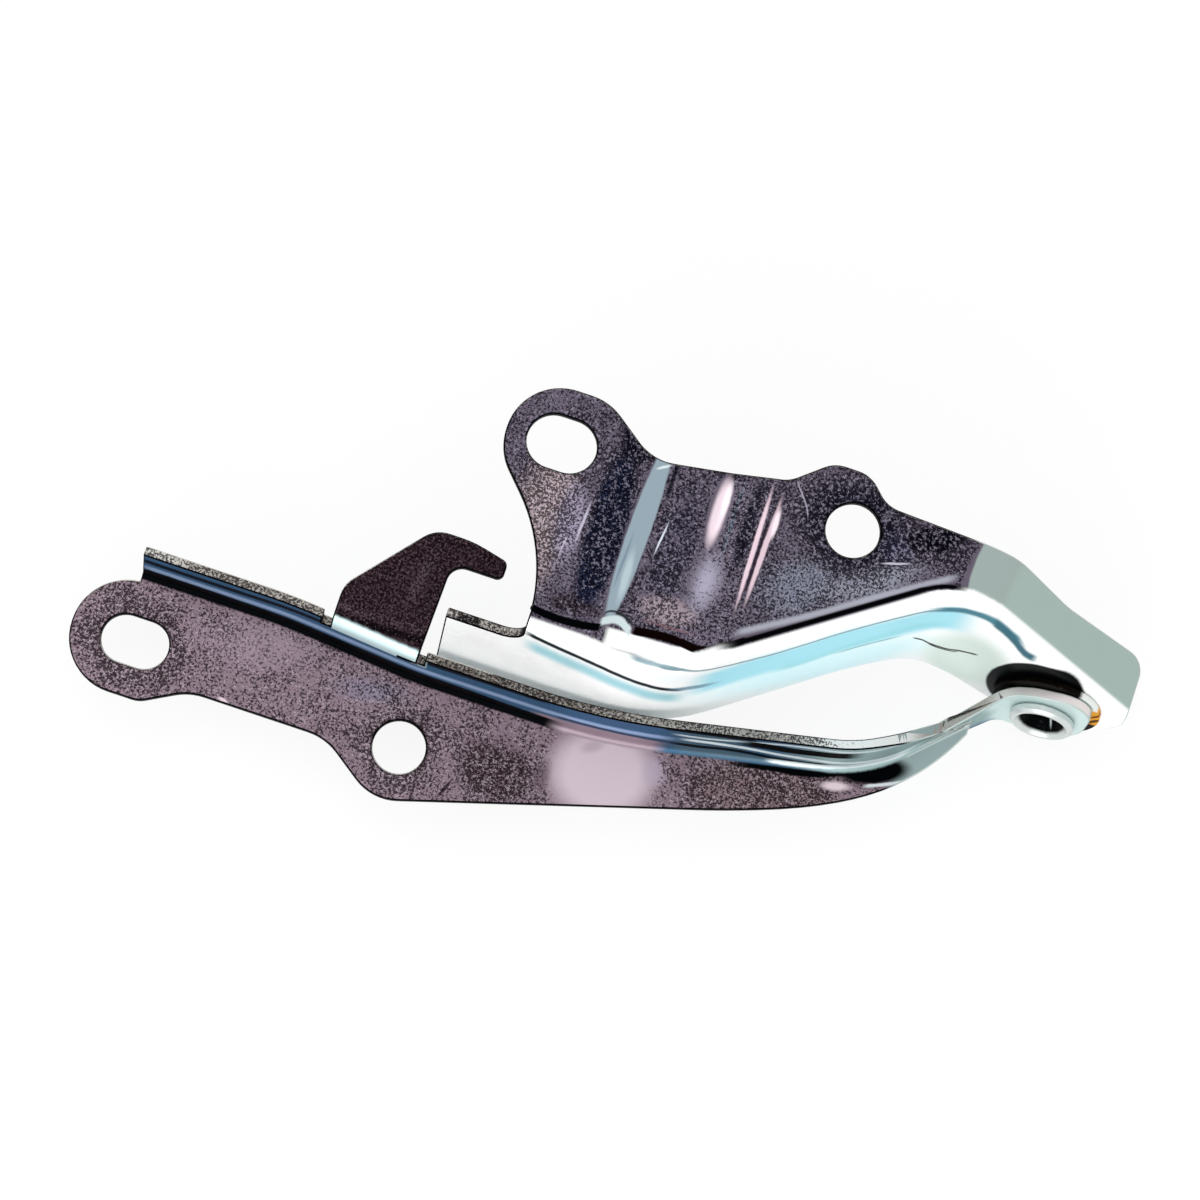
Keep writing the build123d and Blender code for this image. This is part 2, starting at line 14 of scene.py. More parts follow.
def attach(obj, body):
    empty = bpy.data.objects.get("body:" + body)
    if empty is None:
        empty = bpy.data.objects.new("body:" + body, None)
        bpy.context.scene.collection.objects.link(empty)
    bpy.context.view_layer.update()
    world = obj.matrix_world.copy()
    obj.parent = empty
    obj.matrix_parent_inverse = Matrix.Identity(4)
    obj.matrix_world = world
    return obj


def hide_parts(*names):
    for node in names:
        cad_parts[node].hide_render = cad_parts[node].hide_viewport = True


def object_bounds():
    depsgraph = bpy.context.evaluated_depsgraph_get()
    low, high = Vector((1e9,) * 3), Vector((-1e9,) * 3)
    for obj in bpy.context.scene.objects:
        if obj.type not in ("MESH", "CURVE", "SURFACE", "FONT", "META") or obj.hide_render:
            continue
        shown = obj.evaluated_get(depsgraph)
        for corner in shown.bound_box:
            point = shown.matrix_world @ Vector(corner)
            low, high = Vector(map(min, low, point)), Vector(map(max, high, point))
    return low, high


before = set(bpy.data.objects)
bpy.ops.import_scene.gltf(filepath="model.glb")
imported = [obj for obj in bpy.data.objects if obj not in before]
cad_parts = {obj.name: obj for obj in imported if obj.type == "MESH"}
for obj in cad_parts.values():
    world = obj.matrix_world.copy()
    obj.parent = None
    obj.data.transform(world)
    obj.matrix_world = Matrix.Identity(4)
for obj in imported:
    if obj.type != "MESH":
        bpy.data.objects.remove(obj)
cad_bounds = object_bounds()

MM = 0.001
log = logging.getLogger("hood_hinge")

Colour = tuple[float, float, float]
Point = tuple[float, float]
Socket = bpy.types.NodeSocket
Value = Socket | float

# A point of the pivot line in mm, and the direction up the leaning webs.
PIVOT = (135.2, 52.6, 3.9)
WEB_UP = (0.0, 0.2419, 0.9703)
# Side part of a normal per up part on the webs' tops, which stand square to the webs.
WEB_TOP_LEAN = 0.249
# Tight corners of the bracket, in mm, whose edges stay sharp.
TIGHT_CORNERS = (Vector((-1.9, 20.2, 10.4)), Vector((105.2, 33.2, 8.2)))

# Scales of the plating's noises, per metre.
WAVER_SCALE = 420.0
GRAIN_SCALE = 1750.0
GLINT_SCALE = 1650.0
STAIN_SCALE = 150.0
# Noise levels at which a grain begins and at which it is full.
DARK_GRAIN_LEVEL = (0.49, 0.57)
LIGHT_GRAIN_LEVEL = (0.57, 0.65)
# How strongly the grains show, and how far a light one goes to its own colour.
DARK_GRAIN_SHARE = 0.88
LIGHT_GRAIN_SHARE = 0.75
LIGHT_GRAIN_TINT = 0.42
# How much rougher a dark grain is than the plating, and the level of the plating's clear shine.
GRAIN_ROUGHNESS = 0.16
SPECULAR_LEVEL = 0.15

# Spans over which one painted colour gives way to the next; the flats' dark colour and the webs'
# bright one are painted reflections that follow how a face leans. Side is the part of the normal that
# points to the camera's side of the webs, Up the part that points up; X, Y, Z and Height are in mm.
BRACKET_FOLD_SIDE = (0.12, 0.4)
ARM_FOLD_SIDE = (0.12, 0.32)
ARM_LATE_FOLD_SIDE = (0.34, 0.5)
ARM_LATE_FOLD_START_X = (58.0, 64.0)
ARM_LATE_FOLD_END_X = (108.0, 104.0)
ARM_LINE_BEGIN_SIDE = (0.1, 0.2)
ARM_LINE_END_SIDE = (0.44, 0.32)
WEB_BACK_SIDE = (-0.2, -0.5)
HOOK_ROOT_Z = (10.0, 10.5)
HOOK_ROOT_START_X = (-24.2, -23.4)
HOOK_ROOT_END_X = (0.6, -0.2)
HOOK_Z = (13.6, 14.0)
HOOK_END_X = (14.0, 12.0)
HOOK_RIM_SIDE = (-0.2, -0.4)
HOOK_RIM_UP = (0.2, 0.5)
HOOK_RIM_END_X = (16.0, 14.0)
HOOK_RIM_HEIGHT = (8.4, 5.0)
EDGE_GRAIN_END_X = (104.0, 84.0)
WEB_TOP_MISS = (0.13, 0.06)
WEB_TOP_UP = (0.3, 0.6)


class Face(Enum):
    """Material slots of a sheet piece: its plated skin and its sheared edge."""

    SKIN = 0
    SHEARED = 1


def srgb(red: int, green: int, blue: int) -> Colour:
    """Turn a display colour into a linear one.

    Args:
        red: Red, 0 to 255.
        green: Green, 0 to 255.
        blue: Blue, 0 to 255.

    Returns:
        The linear colour.
    """
    linear = []
    for value in (red, green, blue):
        share = value / 255
        linear.append(share / 12.92 if share <= 0.04045 else ((share + 0.055) / 1.055) ** 2.4)
    return tuple(linear)


class Nodes:
    """Small helper that adds and joins shader nodes in one tree."""

    def __init__(self, tree: bpy.types.NodeTree) -> None:
        """Keep the tree.

        Args:
            tree: The node tree to build in.
        """
        self.tree = tree

    def add(self, kind: str, inputs: dict | None = None, **settings) -> bpy.types.Node:
        """Add a node, set it up and link or fill its inputs.

        Args:
            kind: The node's type name.
            inputs: Input names or numbers, each with a socket to link or a value to set.
            **settings: Attributes of the node.

        Returns:
            The new node.
        """
        node = self.tree.nodes.new(kind)
        for name, value in settings.items():
            setattr(node, name, value)
        for name, value in (inputs or {}).items():
            if isinstance(value, Socket):
                self.tree.links.new(value, node.inputs[name])
            else:
                node.inputs[name].default_value = value
        return node

    def math(self, operation: str, first: Value, second: Value = 0.0, clamp: bool = False) -> Socket:
        """Add a Math node.

        Args:
            operation: The operation's name.
            first: Socket or number.
            second: Socket or number.
            clamp: Whether the result is kept in 0 to 1.

        Returns:
            The result's socket.
        """
        node = self.add("ShaderNodeMath", {0: first, 1: second}, operation=operation, use_clamp=clamp)
        return node.outputs[0]

    def multiply_add(self, value: Value, factor: float, offset: Value) -> Socket:
        """Add a Math node that multiplies and then adds.

        Args:
            value: Socket or number.
            factor: What it is multiplied by.
            offset: Socket or number that is added.

        Returns:
            The result's socket.
        """
        inputs = {0: value, 1: factor, 2: offset}
        return self.add("ShaderNodeMath", inputs, operation="MULTIPLY_ADD").outputs[0]

    def noise(self, place: Socket, scale: float, detail: float, roughness: float) -> bpy.types.NodeOutputs:
        """Add a Noise Texture.

        Args:
            place: Socket of the place to read it at.
            scale: Its scale.
            detail: Its detail.
            roughness: Its roughness.

        Returns:
            The texture's outputs.
        """
        inputs = {"Vector": place, "Scale": scale, "Detail": detail, "Roughness": roughness}
        return self.add("ShaderNodeTexNoise", inputs).outputs

    def both(self, first: Socket, *others: Socket) -> Socket:
        """Multiply masks.

        Args:
            first: The first mask.
            *others: The others.

        Returns:
            The mask of what they all cover.
        """
        for other in others:
            first = self.math("MULTIPLY", first, other)
        return first

    def ramp(self, value: Socket, low: Value, high: Value) -> Socket:
        """Smoothly turn a value from low to high into 0 to 1.

        Args:
            value: The socket to read.
            low: Socket or number that gives 0.
            high: Socket or number that gives 1.

        Returns:
            The result's socket.
        """
        node = self.add(
            "ShaderNodeMapRange",
            {"Value": value, "From Min": low, "From Max": high},
            interpolation_type="SMOOTHSTEP",
        )
        return node.outputs["Result"]

    def mix(self, factor: Value, first: Socket | Colour, second: Socket | Colour) -> Socket:
        """Mix two colours.

        Args:
            factor: Socket or number.
            first: Colour or socket at 0.
            second: Colour or socket at 1.

        Returns:
            The mixed colour's socket.
        """
        node = self.add("ShaderNodeMix", data_type="RGBA")
        for index, value in ((0, factor), (6, first), (7, second)):
            if isinstance(value, Socket):
                self.tree.links.new(value, node.inputs[index])
            elif index == 0:
                node.inputs[index].default_value = value
            else:
                node.inputs[index].default_value = (*value, 1)
        return node.outputs[2]

    def vector(
        self,
        operation: str,
        first: Socket | Colour,
        second: Socket | Colour | None = None,
        scale: Value | None = None,
        output: str = "Vector",
    ) -> Socket:
        """Add a Vector Math node.

        Args:
            operation: The operation's name.
            first: Socket or vector.
            second: Socket or vector, where the operation takes one.
            scale: Socket or number, where the operation takes one.
            output: Name of the output to read.

        Returns:
            The result's socket.
        """
        inputs = {0: first}
        if second is not None:
            inputs[1] = second
        if scale is not None:
            inputs["Scale"] = scale
        return self.add("ShaderNodeVectorMath", inputs, operation=operation).outputs[output]

    def group(self, tree: bpy.types.NodeTree, inputs: dict) -> bpy.types.Node:
        """Place a shared node group.

        Args:
            tree: The group.
            inputs: Its inputs, as for add.

        Returns:
            The group's node.
        """
        return self.add("ShaderNodeGroup", inputs, node_tree=tree)

    def curve(self, value: Socket, path: tuple[Point, ...]) -> Socket:
        """Read a smooth curve through points.

        Args:
            value: The socket to read along the curve.
            path: The curve's points, in rising order.

        Returns:
            The curve's height.
        """
        low, high = path[0][0], path[-1][0]
        floor = min(point[1] for point in path) - 1.0
        span = max(point[1] for point in path) + 1.0 - floor
        share = self.math("DIVIDE", self.math("SUBTRACT", value, low), high - low, clamp=True)
        node = self.add("ShaderNodeFloatCurve", {"Factor": 1.0, "Value": share})
        points = node.mapping.curves[0].points
        for place, height in path[1:-1]:
            points.new((place - low) / (high - low), (height - floor) / span)
        points[0].location = (0.0, (path[0][1] - floor) / span)
        points[len(points) - 1].location = (1.0, (path[-1][1] - floor) / span)
        node.mapping.update()
        return self.math("ADD", self.math("MULTIPLY", node.outputs[0], span), floor)


def new_group(
    name: str, inputs: tuple[str, ...], outputs: tuple[str, ...]
) -> tuple[Nodes, bpy.types.NodeOutputs, bpy.types.NodeInputs]:
    """Start a shared node group whose sockets are all plain numbers.

    Args:
        name: The group's name.
        inputs: Names of its inputs.
        outputs: Names of its outputs.

    Returns:
        Its node helper, the sockets to read and the sockets to fill.
    """
    tree = bpy.data.node_groups.new(name, "ShaderNodeTree")
    for sockets, way in ((inputs, "INPUT"), (outputs, "OUTPUT")):
        for socket in sockets:
            tree.interface.new_socket(socket, in_out=way, socket_type="NodeSocketFloat")
    entry = tree.nodes.new("NodeGroupInput")
    exit_node = tree.nodes.new("NodeGroupOutput")
    return Nodes(tree), entry.outputs, exit_node.inputs


def place_group() -> bpy.types.NodeTree:
    """Build the group that tells where a point of the hinge lies and how it faces.

    Returns:
        A group that gives the position in mm (X, Y, Z), the height up the webs from the pivot,
        and how far the face points up and to the side.
    """
    names = ("X", "Y", "Z", "Height", "Up", "Side")
    nodes, entry, leave = new_group("hinge_place", ("Waver",), names)
    coordinates = nodes.add("ShaderNodeTexCoord").outputs
    noise = nodes.noise(coordinates["Object"], WAVER_SCALE, 2.0, 0.6)
    centred = nodes.vector("SUBTRACT", noise["Color"], (0.5, 0.5, 0.5))
    waver = nodes.vector("SCALE", centred, scale=entry["Waver"])
    in_mm = nodes.vector("SCALE", coordinates["Object"], scale=1 / MM)
    position = nodes.vector("ADD", in_mm, waver)
    from_pivot = nodes.vector("SUBTRACT", position, PIVOT)
    split = nodes.add("ShaderNodeSeparateXYZ", {0: position}).outputs
    facing = nodes.add("ShaderNodeSeparateXYZ", {0: coordinates["Normal"]}).outputs
    height = nodes.vector("DOT_PRODUCT", from_pivot, WEB_UP, output="Value")
    side = nodes.math("MULTIPLY", facing["Y"], -1.0)
    for name, socket in zip(names, (split["X"], split["Y"], split["Z"], height, facing["Z"], side)):
        nodes.tree.links.new(socket, leave[name])
    return nodes.tree


def patch_group() -> bpy.types.NodeTree:
    """Build the group that masks a soft ellipse.

    Returns:
        A group that gives 1 inside the ellipse and 0 outside.
    """
    names = ("U", "V", "Centre U", "Centre V", "Half U", "Half V", "Turn", "Soft")
    nodes, entry, leave = new_group("patch_mask", names, ("Mask",))
    here = nodes.add("ShaderNodeCombineXYZ", {0: entry["U"], 1: entry["V"]})
    centre = nodes.add("ShaderNodeCombineXYZ", {0: entry["Centre U"], 1: entry["Centre V"]})
    half = nodes.add("ShaderNodeCombineXYZ", {0: entry["Half U"], 1: entry["Half V"], 2: 1.0})
    apart = nodes.vector("SUBTRACT", here.outputs[0], centre.outputs[0])
    turned = nodes.add(
        "ShaderNodeVectorRotate",
        {"Vector": apart, "Angle": nodes.math("MULTIPLY", entry["Turn"], -1.0)},
        rotation_type="Z_AXIS",
    )
    share = nodes.vector("LENGTH", nodes.vector("DIVIDE", turned.outputs[0], half.outputs[0]), output="Value")
    inner = nodes.math("SUBTRACT", 1.0, entry["Soft"])
    nodes.tree.links.new(nodes.ramp(share, 1.0, inner), leave["Mask"])
    return nodes.tree


def streak_group() -> bpy.types.NodeTree:
    """Build the group that masks a band round a curve.

    Returns:
        A group that gives 1 on the band and 0 away from it.
    """
    names = ("U", "V", "Curve", "Half", "Soft", "Start", "End", "Fade")
    nodes, entry, leave = new_group("streak_mask", names, ("Mask",))
    away = nodes.math("ABSOLUTE", nodes.math("SUBTRACT", entry["V"], entry["Curve"]))
    inner = nodes.math("MULTIPLY", entry["Half"], nodes.math("SUBTRACT", 1.0, entry["Soft"]))
    band = nodes.ramp(away, entry["Half"], inner)
    begun = nodes.ramp(entry["U"], entry["Start"], nodes.math("ADD", entry["Start"], entry["Fade"]))
    going = nodes.ramp(entry["U"], entry["End"], nodes.math("SUBTRACT", entry["End"], entry["Fade"]))
    nodes.tree.links.new(nodes.both(band, begun, going), leave["Mask"])
    return nodes.tree


def speckle_group() -> bpy.types.NodeTree:
    """Build the group that gives plating its fine dark and light grains.

    Returns:
        A group that gives the masks of dark and of light grains, for a density.
    """
    nodes, entry, leave = new_group("speckle", ("Density",), ("Dark", "Light"))
    place = nodes.add("ShaderNodeTexCoord").outputs["Object"]
    moved = nodes.vector("ADD", place, (0.31, 0.17, 0.23))
    grains = nodes.noise(place, GRAIN_SCALE, 2.0, 0.75)["Fac"]
    glints = nodes.noise(moved, GLINT_SCALE, 2.0, 0.75)["Fac"]
    stain = nodes.noise(moved, STAIN_SCALE, 4.0, 0.62)["Fac"]
    amount = nodes.multiply_add(entry["Density"], 0.34, -0.17)
    amount = nodes.math("ADD", amount, nodes.math("MULTIPLY", nodes.math("SUBTRACT", stain, 0.5), 0.35))
    dark = nodes.ramp(nodes.math("ADD", grains, amount), *DARK_GRAIN_LEVEL)
    light = nodes.ramp(nodes.math("ADD", glints, nodes.math("MULTIPLY", amount, 0.3)), *LIGHT_GRAIN_LEVEL)
    nodes.tree.links.new(dark, leave["Dark"])
    nodes.tree.links.new(light, leave["Light"])
    return nodes.tree


@dataclass(frozen=True)
class Patch:
    """A soft ellipse of colour, in mm on the face that it is painted on.

    Attributes:
        centre: Its centre.
        half: Its half length and half width.
        colour: Its colour.
        turn: Its turn in degrees.
        strength: Its opacity.
        soft: Share of its radius that fades out.
    """

    centre: Point
    half: Point
    colour: Colour
    turn: float = 0.0
    strength: float = 1.0
    soft: float = 0.6

    def mask(self, nodes: Nodes, groups: dict[str, bpy.types.NodeTree], u: Socket, v: Socket) -> Socket:
        """Add the nodes that mask it.

        Args:
            nodes: The material's node helper.
            groups: The shared node groups by name.
            u: Socket of the first coordinate.
            v: Socket of the second coordinate.

        Returns:
            The mask's socket.
        """
        node = nodes.group(
            groups["patch"],
            {
                "U": u, "V": v, "Centre U": self.centre[0], "Centre V": self.centre[1],
                "Half U": self.half[0], "Half V": self.half[1],
                "Turn": math.radians(self.turn), "Soft": self.soft,
            },
        )
        return node.outputs["Mask"]


@dataclass(frozen=True)
class Streak:
    """A band of colour along a curve, in mm on the face that it is painted on.

    Attributes:
        path: Points of the curve, in rising order.
        half: Half width of the band.
        colour: Its colour.
        strength: Its opacity.
        soft: Share of the half width that fades out.
        fade: Length over which its ends fade.
    """

    path: tuple[Point, ...]
    half: float
    colour: Colour
    strength: float = 1.0
    soft: float = 0.5
    fade: float = 2.0

    def mask(self, nodes: Nodes, groups: dict[str, bpy.types.NodeTree], u: Socket, v: Socket) -> Socket:
        """Add the nodes that mask it.

        Args:
            nodes: The material's node helper.
            groups: The shared node groups by name.
            u: Socket of the first coordinate.
            v: Socket of the second coordinate.

        Returns:
            The mask's socket.
        """
        node = nodes.group(
            groups["streak"],
            {
                "U": u, "V": v, "Curve": nodes.curve(u, self.path), "Half": self.half,
                "Soft": self.soft, "Start": self.path[0][0], "End": self.path[-1][0], "Fade": self.fade,
            },
        )
        return node.outputs["Mask"]


def grey(value: float) -> Colour:
    """Give a plain level as a colour.

    Args:
        value: The level.

    Returns:
        The colour.
    """
    return (value, value, value)


BLACK = srgb(4, 5, 7)
WHITE = srgb(252, 254, 253)
# Painted light: the webs' backs are pale so that they bounce more light onto the arm's web.
WEB_BACK_BOUNCE_LIGHT = srgb(214, 220, 222)

# What is painted on each surface, in this order; much of it is painted reflection, highlight and shade.
# Flats, hook and densities lie in X and Y, webs, edges, rivet and bush in X and Height, all in mm.
# The bracket flat's mottled tone, with its dark colour and pale patches as painted reflection.
BRACKET_FLAT_MOTTLE_AND_REFLECTION = (
    Patch((-38.0, 12.0), (22.0, 9.0), srgb(150, 132, 144), 8, 0.9, 0.8),
    Patch((-10.0, 10.0), (12.0, 4.0), srgb(132, 126, 146), 10, 0.7, 0.8),
    Patch((22.0, 2.0), (12.0, 9.0), srgb(100, 82, 90), 0, 0.95, 0.6),
    Patch((45.0, 9.0), (15.0, 13.0), srgb(206, 190, 200), 12, 1.0, 0.5),
    Patch((32.0, 3.0), (3.0, 7.0), srgb(104, 88, 96), 0, 0.8, 0.7),
    Patch((41.0, 14.0), (4.0, 2.0), srgb(178, 160, 172), 30, 0.8, 0.8),
    Patch((56.0, 13.0), (4.0, 5.0), srgb(182, 166, 184), 20, 0.7, 0.8),
    Patch((80.0, 16.0), (21.0, 9.0), srgb(132, 112, 116), 12, 0.9, 0.5),
)
# Painted shade round the round hole and along the fold by the ear, painted reflection where the flat curls up to
# the ear, a painted highlight by the ear, and small marks.
BRACKET_MARKS_AND_PAINTED_LIGHT = (
    Patch((95.5, 22.8), (4.6, 1.5), srgb(226, 208, 214), 14, 0.95, 0.7),
    Patch((0.0, 0.0), (6.9, 6.9), BLACK, 0, 1.0, 0.12),
    Patch((116.0, 36.0), (14.0, 11.0), srgb(150, 168, 168), 30, 1.0, 0.25),
    Patch((102.6, 28.8), (10.0, 3.9), BLACK, 22, 1.0, 0.4),
    Streak(((68, 19.8), (80, 22.4), (88, 23.6), (96, 26.4), (104, 30.2)), 1.4, BLACK, 1.0, 0.4, 8.0),
    Streak(((101, 24.6), (106, 26.7), (112, 29.8)), 0.6, srgb(218, 228, 230), 0.9, 0.7, 2.0),
    Patch((-40.6, -2.6), (1.6, 0.7), srgb(226, 206, 214), -10, 0.9, 0.6),
    Patch((12.6, -5.6), (0.45, 3.2), srgb(30, 22, 26), -22, 0.9, 0.5),
)
BRACKET_DENSITY = (
    Patch((-64.0, 3.0), (16.0, 14.0), grey(0.85), 0, 1.0, 0.5),
    Patch((-36.0, 11.0), (20.0, 8.0), grey(0.42), 8, 0.9, 0.7),
    Patch((0.0, 0.0), (13.0, 13.0), grey(0.75), 0, 1.0, 0.5),
    Patch((22.0, 1.0), (11.0, 8.0), grey(0.8), 0, 1.0, 0.5),
    Patch((45.0, 9.0), (15.0, 14.0), grey(0.0), 12, 1.0, 0.35),
    Patch((80.0, 16.0), (21.0, 10.0), grey(0.75), 12, 1.0, 0.4),
    Patch((116.0, 36.0), (16.0, 13.0), grey(0.0), 30, 1.0, 0.2),
)
# Bands up the bracket's web: painted reflections in blue and white, and black painted shade in the bend and along
# its top.
BRACKET_WEB_REFLECTIONS_AND_SHADE = (
    Streak(((-70, -1.2), (-54, -1.4), (-20, -0.4), (5, 1.0), (30, 1.6)), 1.4, srgb(10, 20, 32), 1.0, 0.7, 4.0),
    Streak(((-70, -4.7), (-54, -4.7), (5, -4.2), (40, -3.4), (60, -3.0)), 1.7, srgb(158, 182, 216), 0.9, 0.9, 6.0),
    Streak(((24, -8.4), (33, -8.4), (44, -8.2), (58, -8.6)), 2.9, srgb(150, 134, 144), 1.0, 0.3, 5.0),
    Streak(((-74, -8.6), (-54, -8.5), (-30, -9.0), (5, -8.9), (18, -9.6), (34, -10.4)), 3.0, BLACK, 1.0, 0.25, 5.0),
    Streak(((30, -4.9), (44, -5.0), (62, -5.7)), 0.8, srgb(58, 68, 88), 0.9, 0.6, 3.0),
    Streak(((56, -7.4), (66, -7.6), (84, -7.4)), 1.5, srgb(92, 116, 130), 0.9, 0.6, 4.0),
    Streak(
        ((56, 0.2), (62, -0.1), (74, 1.4), (84, 2.7), (98, 2.6), (112, 3.6)),
        0.7, srgb(214, 228, 232), 0.95, 0.6, 4.0,
    ),
    Streak(((54, 2.6), (62, 2.6), (70, 2.6), (76, 2.9)), 0.7, srgb(6, 10, 12), 1.0, 0.3, 2.0),
    Streak(((56, -5.4), (62, -5.7), (70, -5.0), (84, -6.7), (94, -6.2)), 1.0, srgb(8, 16, 22), 1.0, 0.4, 4.0),
    Streak(((70, 0.4), (78, 0.1), (84, -0.4), (90, -0.1), (100, 0.4)), 1.7, srgb(2, 4, 4), 1.0, 0.15, 5.0),
    Streak(((58, -2.5), (70, -2.4), (84, -4.1), (100, -4.4), (112, -3.0)), 1.0, srgb(232, 246, 250), 1.0, 0.6, 4.0),
    Streak(((78, -7.6), (84, -7.6), (101, -5.9), (110, -4.6)), 0.8, srgb(226, 238, 240), 1.0, 0.6, 3.0),
)
# Painted reflections on the bracket's web along its length, palest on the ear.
BRACKET_WEB_REFLECTION_PATCHES = (
    Patch((66.0, -3.0), (12.0, 14.0), srgb(78, 106, 124), 0, 1.0, 0.7),
    Patch((104.0, -2.0), (26.0, 18.0), srgb(156, 180, 180), 0, 1.0, 0.6),
    Patch((135.2, 0.0), (15.0, 16.0), srgb(206, 224, 222), 0, 1.0, 0.25),
    Patch((121.0, -3.5), (5.0, 6.0), srgb(150, 174, 172), 20, 0.9, 0.7),
)
# The hook's dark colour is painted reflection, as on the flats; the black line along its root is painted shade.
HOOK_REFLECTION_AND_SHADE = (
    Streak(((-24, 24.4), (-14, 24.6), (-4, 25.0), (0, 25.4)), 1.2, srgb(96, 80, 88), 0.6, 0.8, 3.0),
    Patch((-7.0, 36.0), (2.0, 9.0), srgb(98, 84, 92), -12, 0.5, 0.9),
    Streak(((-24, 21.9), (-14, 22.3), (-2, 22.9), (0, 23.0)), 1.0, BLACK, 0.9, 0.5, 1.0),
)
# The arm flat's mottled tone, with its dark colour and the bands over the trough and its ramps as painted
# reflections of their bends.
ARM_FLAT_MOTTLE_AND_REFLECTION = (
    Patch((14.0, 52.0), (9.0, 22.0), srgb(196, 176, 180), 0, 0.95, 0.6),
    Patch((20.5, 54.0), (4.5, 12.0), srgb(168, 158, 182), 4, 0.9, 0.7),
    Patch((28.6, 55.0), (5.0, 24.0), srgb(34, 42, 66), 2, 1.0, 0.4),
    Patch((30.0, 78.0), (7.0, 9.0), srgb(20, 18, 30), 0, 0.95, 0.5),
    Patch((44.0, 56.0), (6.0, 20.0), srgb(88, 82, 100), 0, 0.9, 0.6),
    Patch((52.6, 51.0), (4.4, 9.5), srgb(160, 156, 174), 0, 0.85, 0.9),
    Patch((46.5, 42.5), (9.0, 4.5), srgb(166, 150, 158), 4, 0.95, 0.7),
    Patch((57.6, 66.0), (1.9, 16.0), srgb(30, 30, 42), 0, 0.95, 0.6),
    Patch((54.0, 66.5), (0.6, 13.0), srgb(104, 116, 130), 0, 0.8, 0.6),
    Patch((72.0, 56.5), (12.0, 8.0), srgb(128, 132, 148), 34, 0.95, 0.7),
    Patch((86.0, 62.0), (16.0, 4.2), srgb(146, 148, 162), 33, 0.95, 0.7),
    Patch((79.5, 73.2), (13.0, 11.0), srgb(44, 42, 60), 0, 0.9, 0.4),
    Patch((90.0, 71.5), (5.0, 5.0), srgb(96, 98, 130), 0, 0.7, 0.8),
    Patch((97.0, 76.0), (8.0, 3.6), srgb(14, 12, 18), 24, 1.0, 0.4),
    Patch((48.0, 76.5), (12.0, 2.6), srgb(18, 16, 26), -2, 0.9, 0.7),
    Patch((27.0, 37.0), (8.0, 2.6), srgb(58, 44, 48), 0, 0.8, 0.7),
)
# Scratches, and painted light: shade round the hole and along the fold, highlights on the trough's bends, on the
# fold and on the lens below it, and reflection on the sloped end.
ARM_SCRATCHES_AND_PAINTED_LIGHT = (
    Patch((79.5, 72.2), (7.3, 7.3), BLACK, 0, 0.85, 0.2),
    Patch((23.4, 55.0), (0.45, 7.0), srgb(206, 200, 218), -3, 0.8, 0.8),
    Patch((20.9, 49.0), (0.3, 3.0), srgb(206, 200, 218), -6, 0.6, 0.8),
    Patch((50.6, 67.0), (2.0, 9.8), srgb(232, 214, 222), 1, 1.0, 0.55),
    Patch((51.4, 70.0), (1.1, 5.5), srgb(246, 232, 238), 1, 0.9, 0.7),
    Patch((60.3, 61.5), (0.7, 16.5), srgb(226, 202, 212), 1, 0.95, 0.5),
    Patch((62.4, 61.5), (0.75, 15.0), srgb(226, 202, 212), -1, 0.95, 0.5),
    Patch((63.1, 68.0), (0.8, 4.5), srgb(250, 234, 240), 0, 0.95, 0.6),
    Patch((61.4, 61.0), (0.4, 14.0), srgb(44, 34, 46), 0, 0.9, 0.5),
    Streak(((64.6, 78.6), (66.4, 76.4), (68.6, 73.4), (69.6, 71.0)), 0.4, srgb(168, 164, 180), 0.8, 0.7, 0.6),
    Patch((90.5, 68.2), (4.2, 0.35), srgb(196, 194, 208), 18, 0.9, 0.6),
    Streak(
        ((61, 42.0), (66, 45.0), (76, 51.2), (84, 56.6), (97.5, 65.6), (105, 70.2)),
        1.4, srgb(192, 196, 208), 0.6, 0.9, 3.0,
    ),
    Patch((35.5, 57.5), (2.6, 23.0), srgb(150, 168, 178), -1, 1.0, 0.16),
    Patch((35.9, 47.0), (1.3, 8.0), srgb(188, 206, 212), 2, 0.85, 0.7),
    Patch((34.3, 50.0), (0.35, 9.0), srgb(112, 134, 150), -2, 0.7, 0.7),
    Patch((36.2, 72.4), (2.2, 0.4), srgb(232, 240, 242), 35, 0.9, 0.6),
    Patch((40.6, 57.5), (0.3, 5.0), srgb(220, 228, 238), -6, 0.9, 0.6),
    Patch((38.9, 71.0), (0.6, 8.0), srgb(8, 10, 18), 0, 0.85, 0.6),
    Streak(((35, 33.0), (41, 33.5), (47, 33.7), (52, 34.0), (58, 35.4)), 2.4, WHITE, 1.0, 0.3, 1.5),
    Streak(
        ((33.4, 35.2), (35.2, 36.6), (37.4, 37.4), (39.6, 36.4), (41, 35.4)),
        1.3, srgb(206, 220, 222), 1.0, 0.5, 0.8,
    ),
    Streak(((33.6, 37.0), (36, 38.9), (38.6, 38.6), (41, 36.8)), 0.35, srgb(40, 46, 50), 0.9, 0.5, 0.8),
    Streak(((17, 34.2), (23, 33.3), (29, 33.5), (34.5, 34.6)), 1.0, BLACK, 1.0, 0.3, 0.8),
    Streak(
        ((40.5, 36.4), (43, 36.6), (48, 37.2), (51.5, 37.1), (56, 36.8), (60, 38.6), (62.5, 40.2), (65, 42.0)),
        1.1, srgb(12, 4, 4), 1.0, 0.3, 1.0,
    ),
    Patch((48.0, 39.4), (8.0, 0.35), srgb(120, 84, 88), 2, 0.7, 0.7),
    Patch((116.5, 72.0), (10.0, 18.0), srgb(158, 172, 168), 0, 1.0, 0.06),
    Patch((137.0, 70.0), (22.0, 22.0), srgb(162, 180, 174), 0, 1.0, 0.1),
)
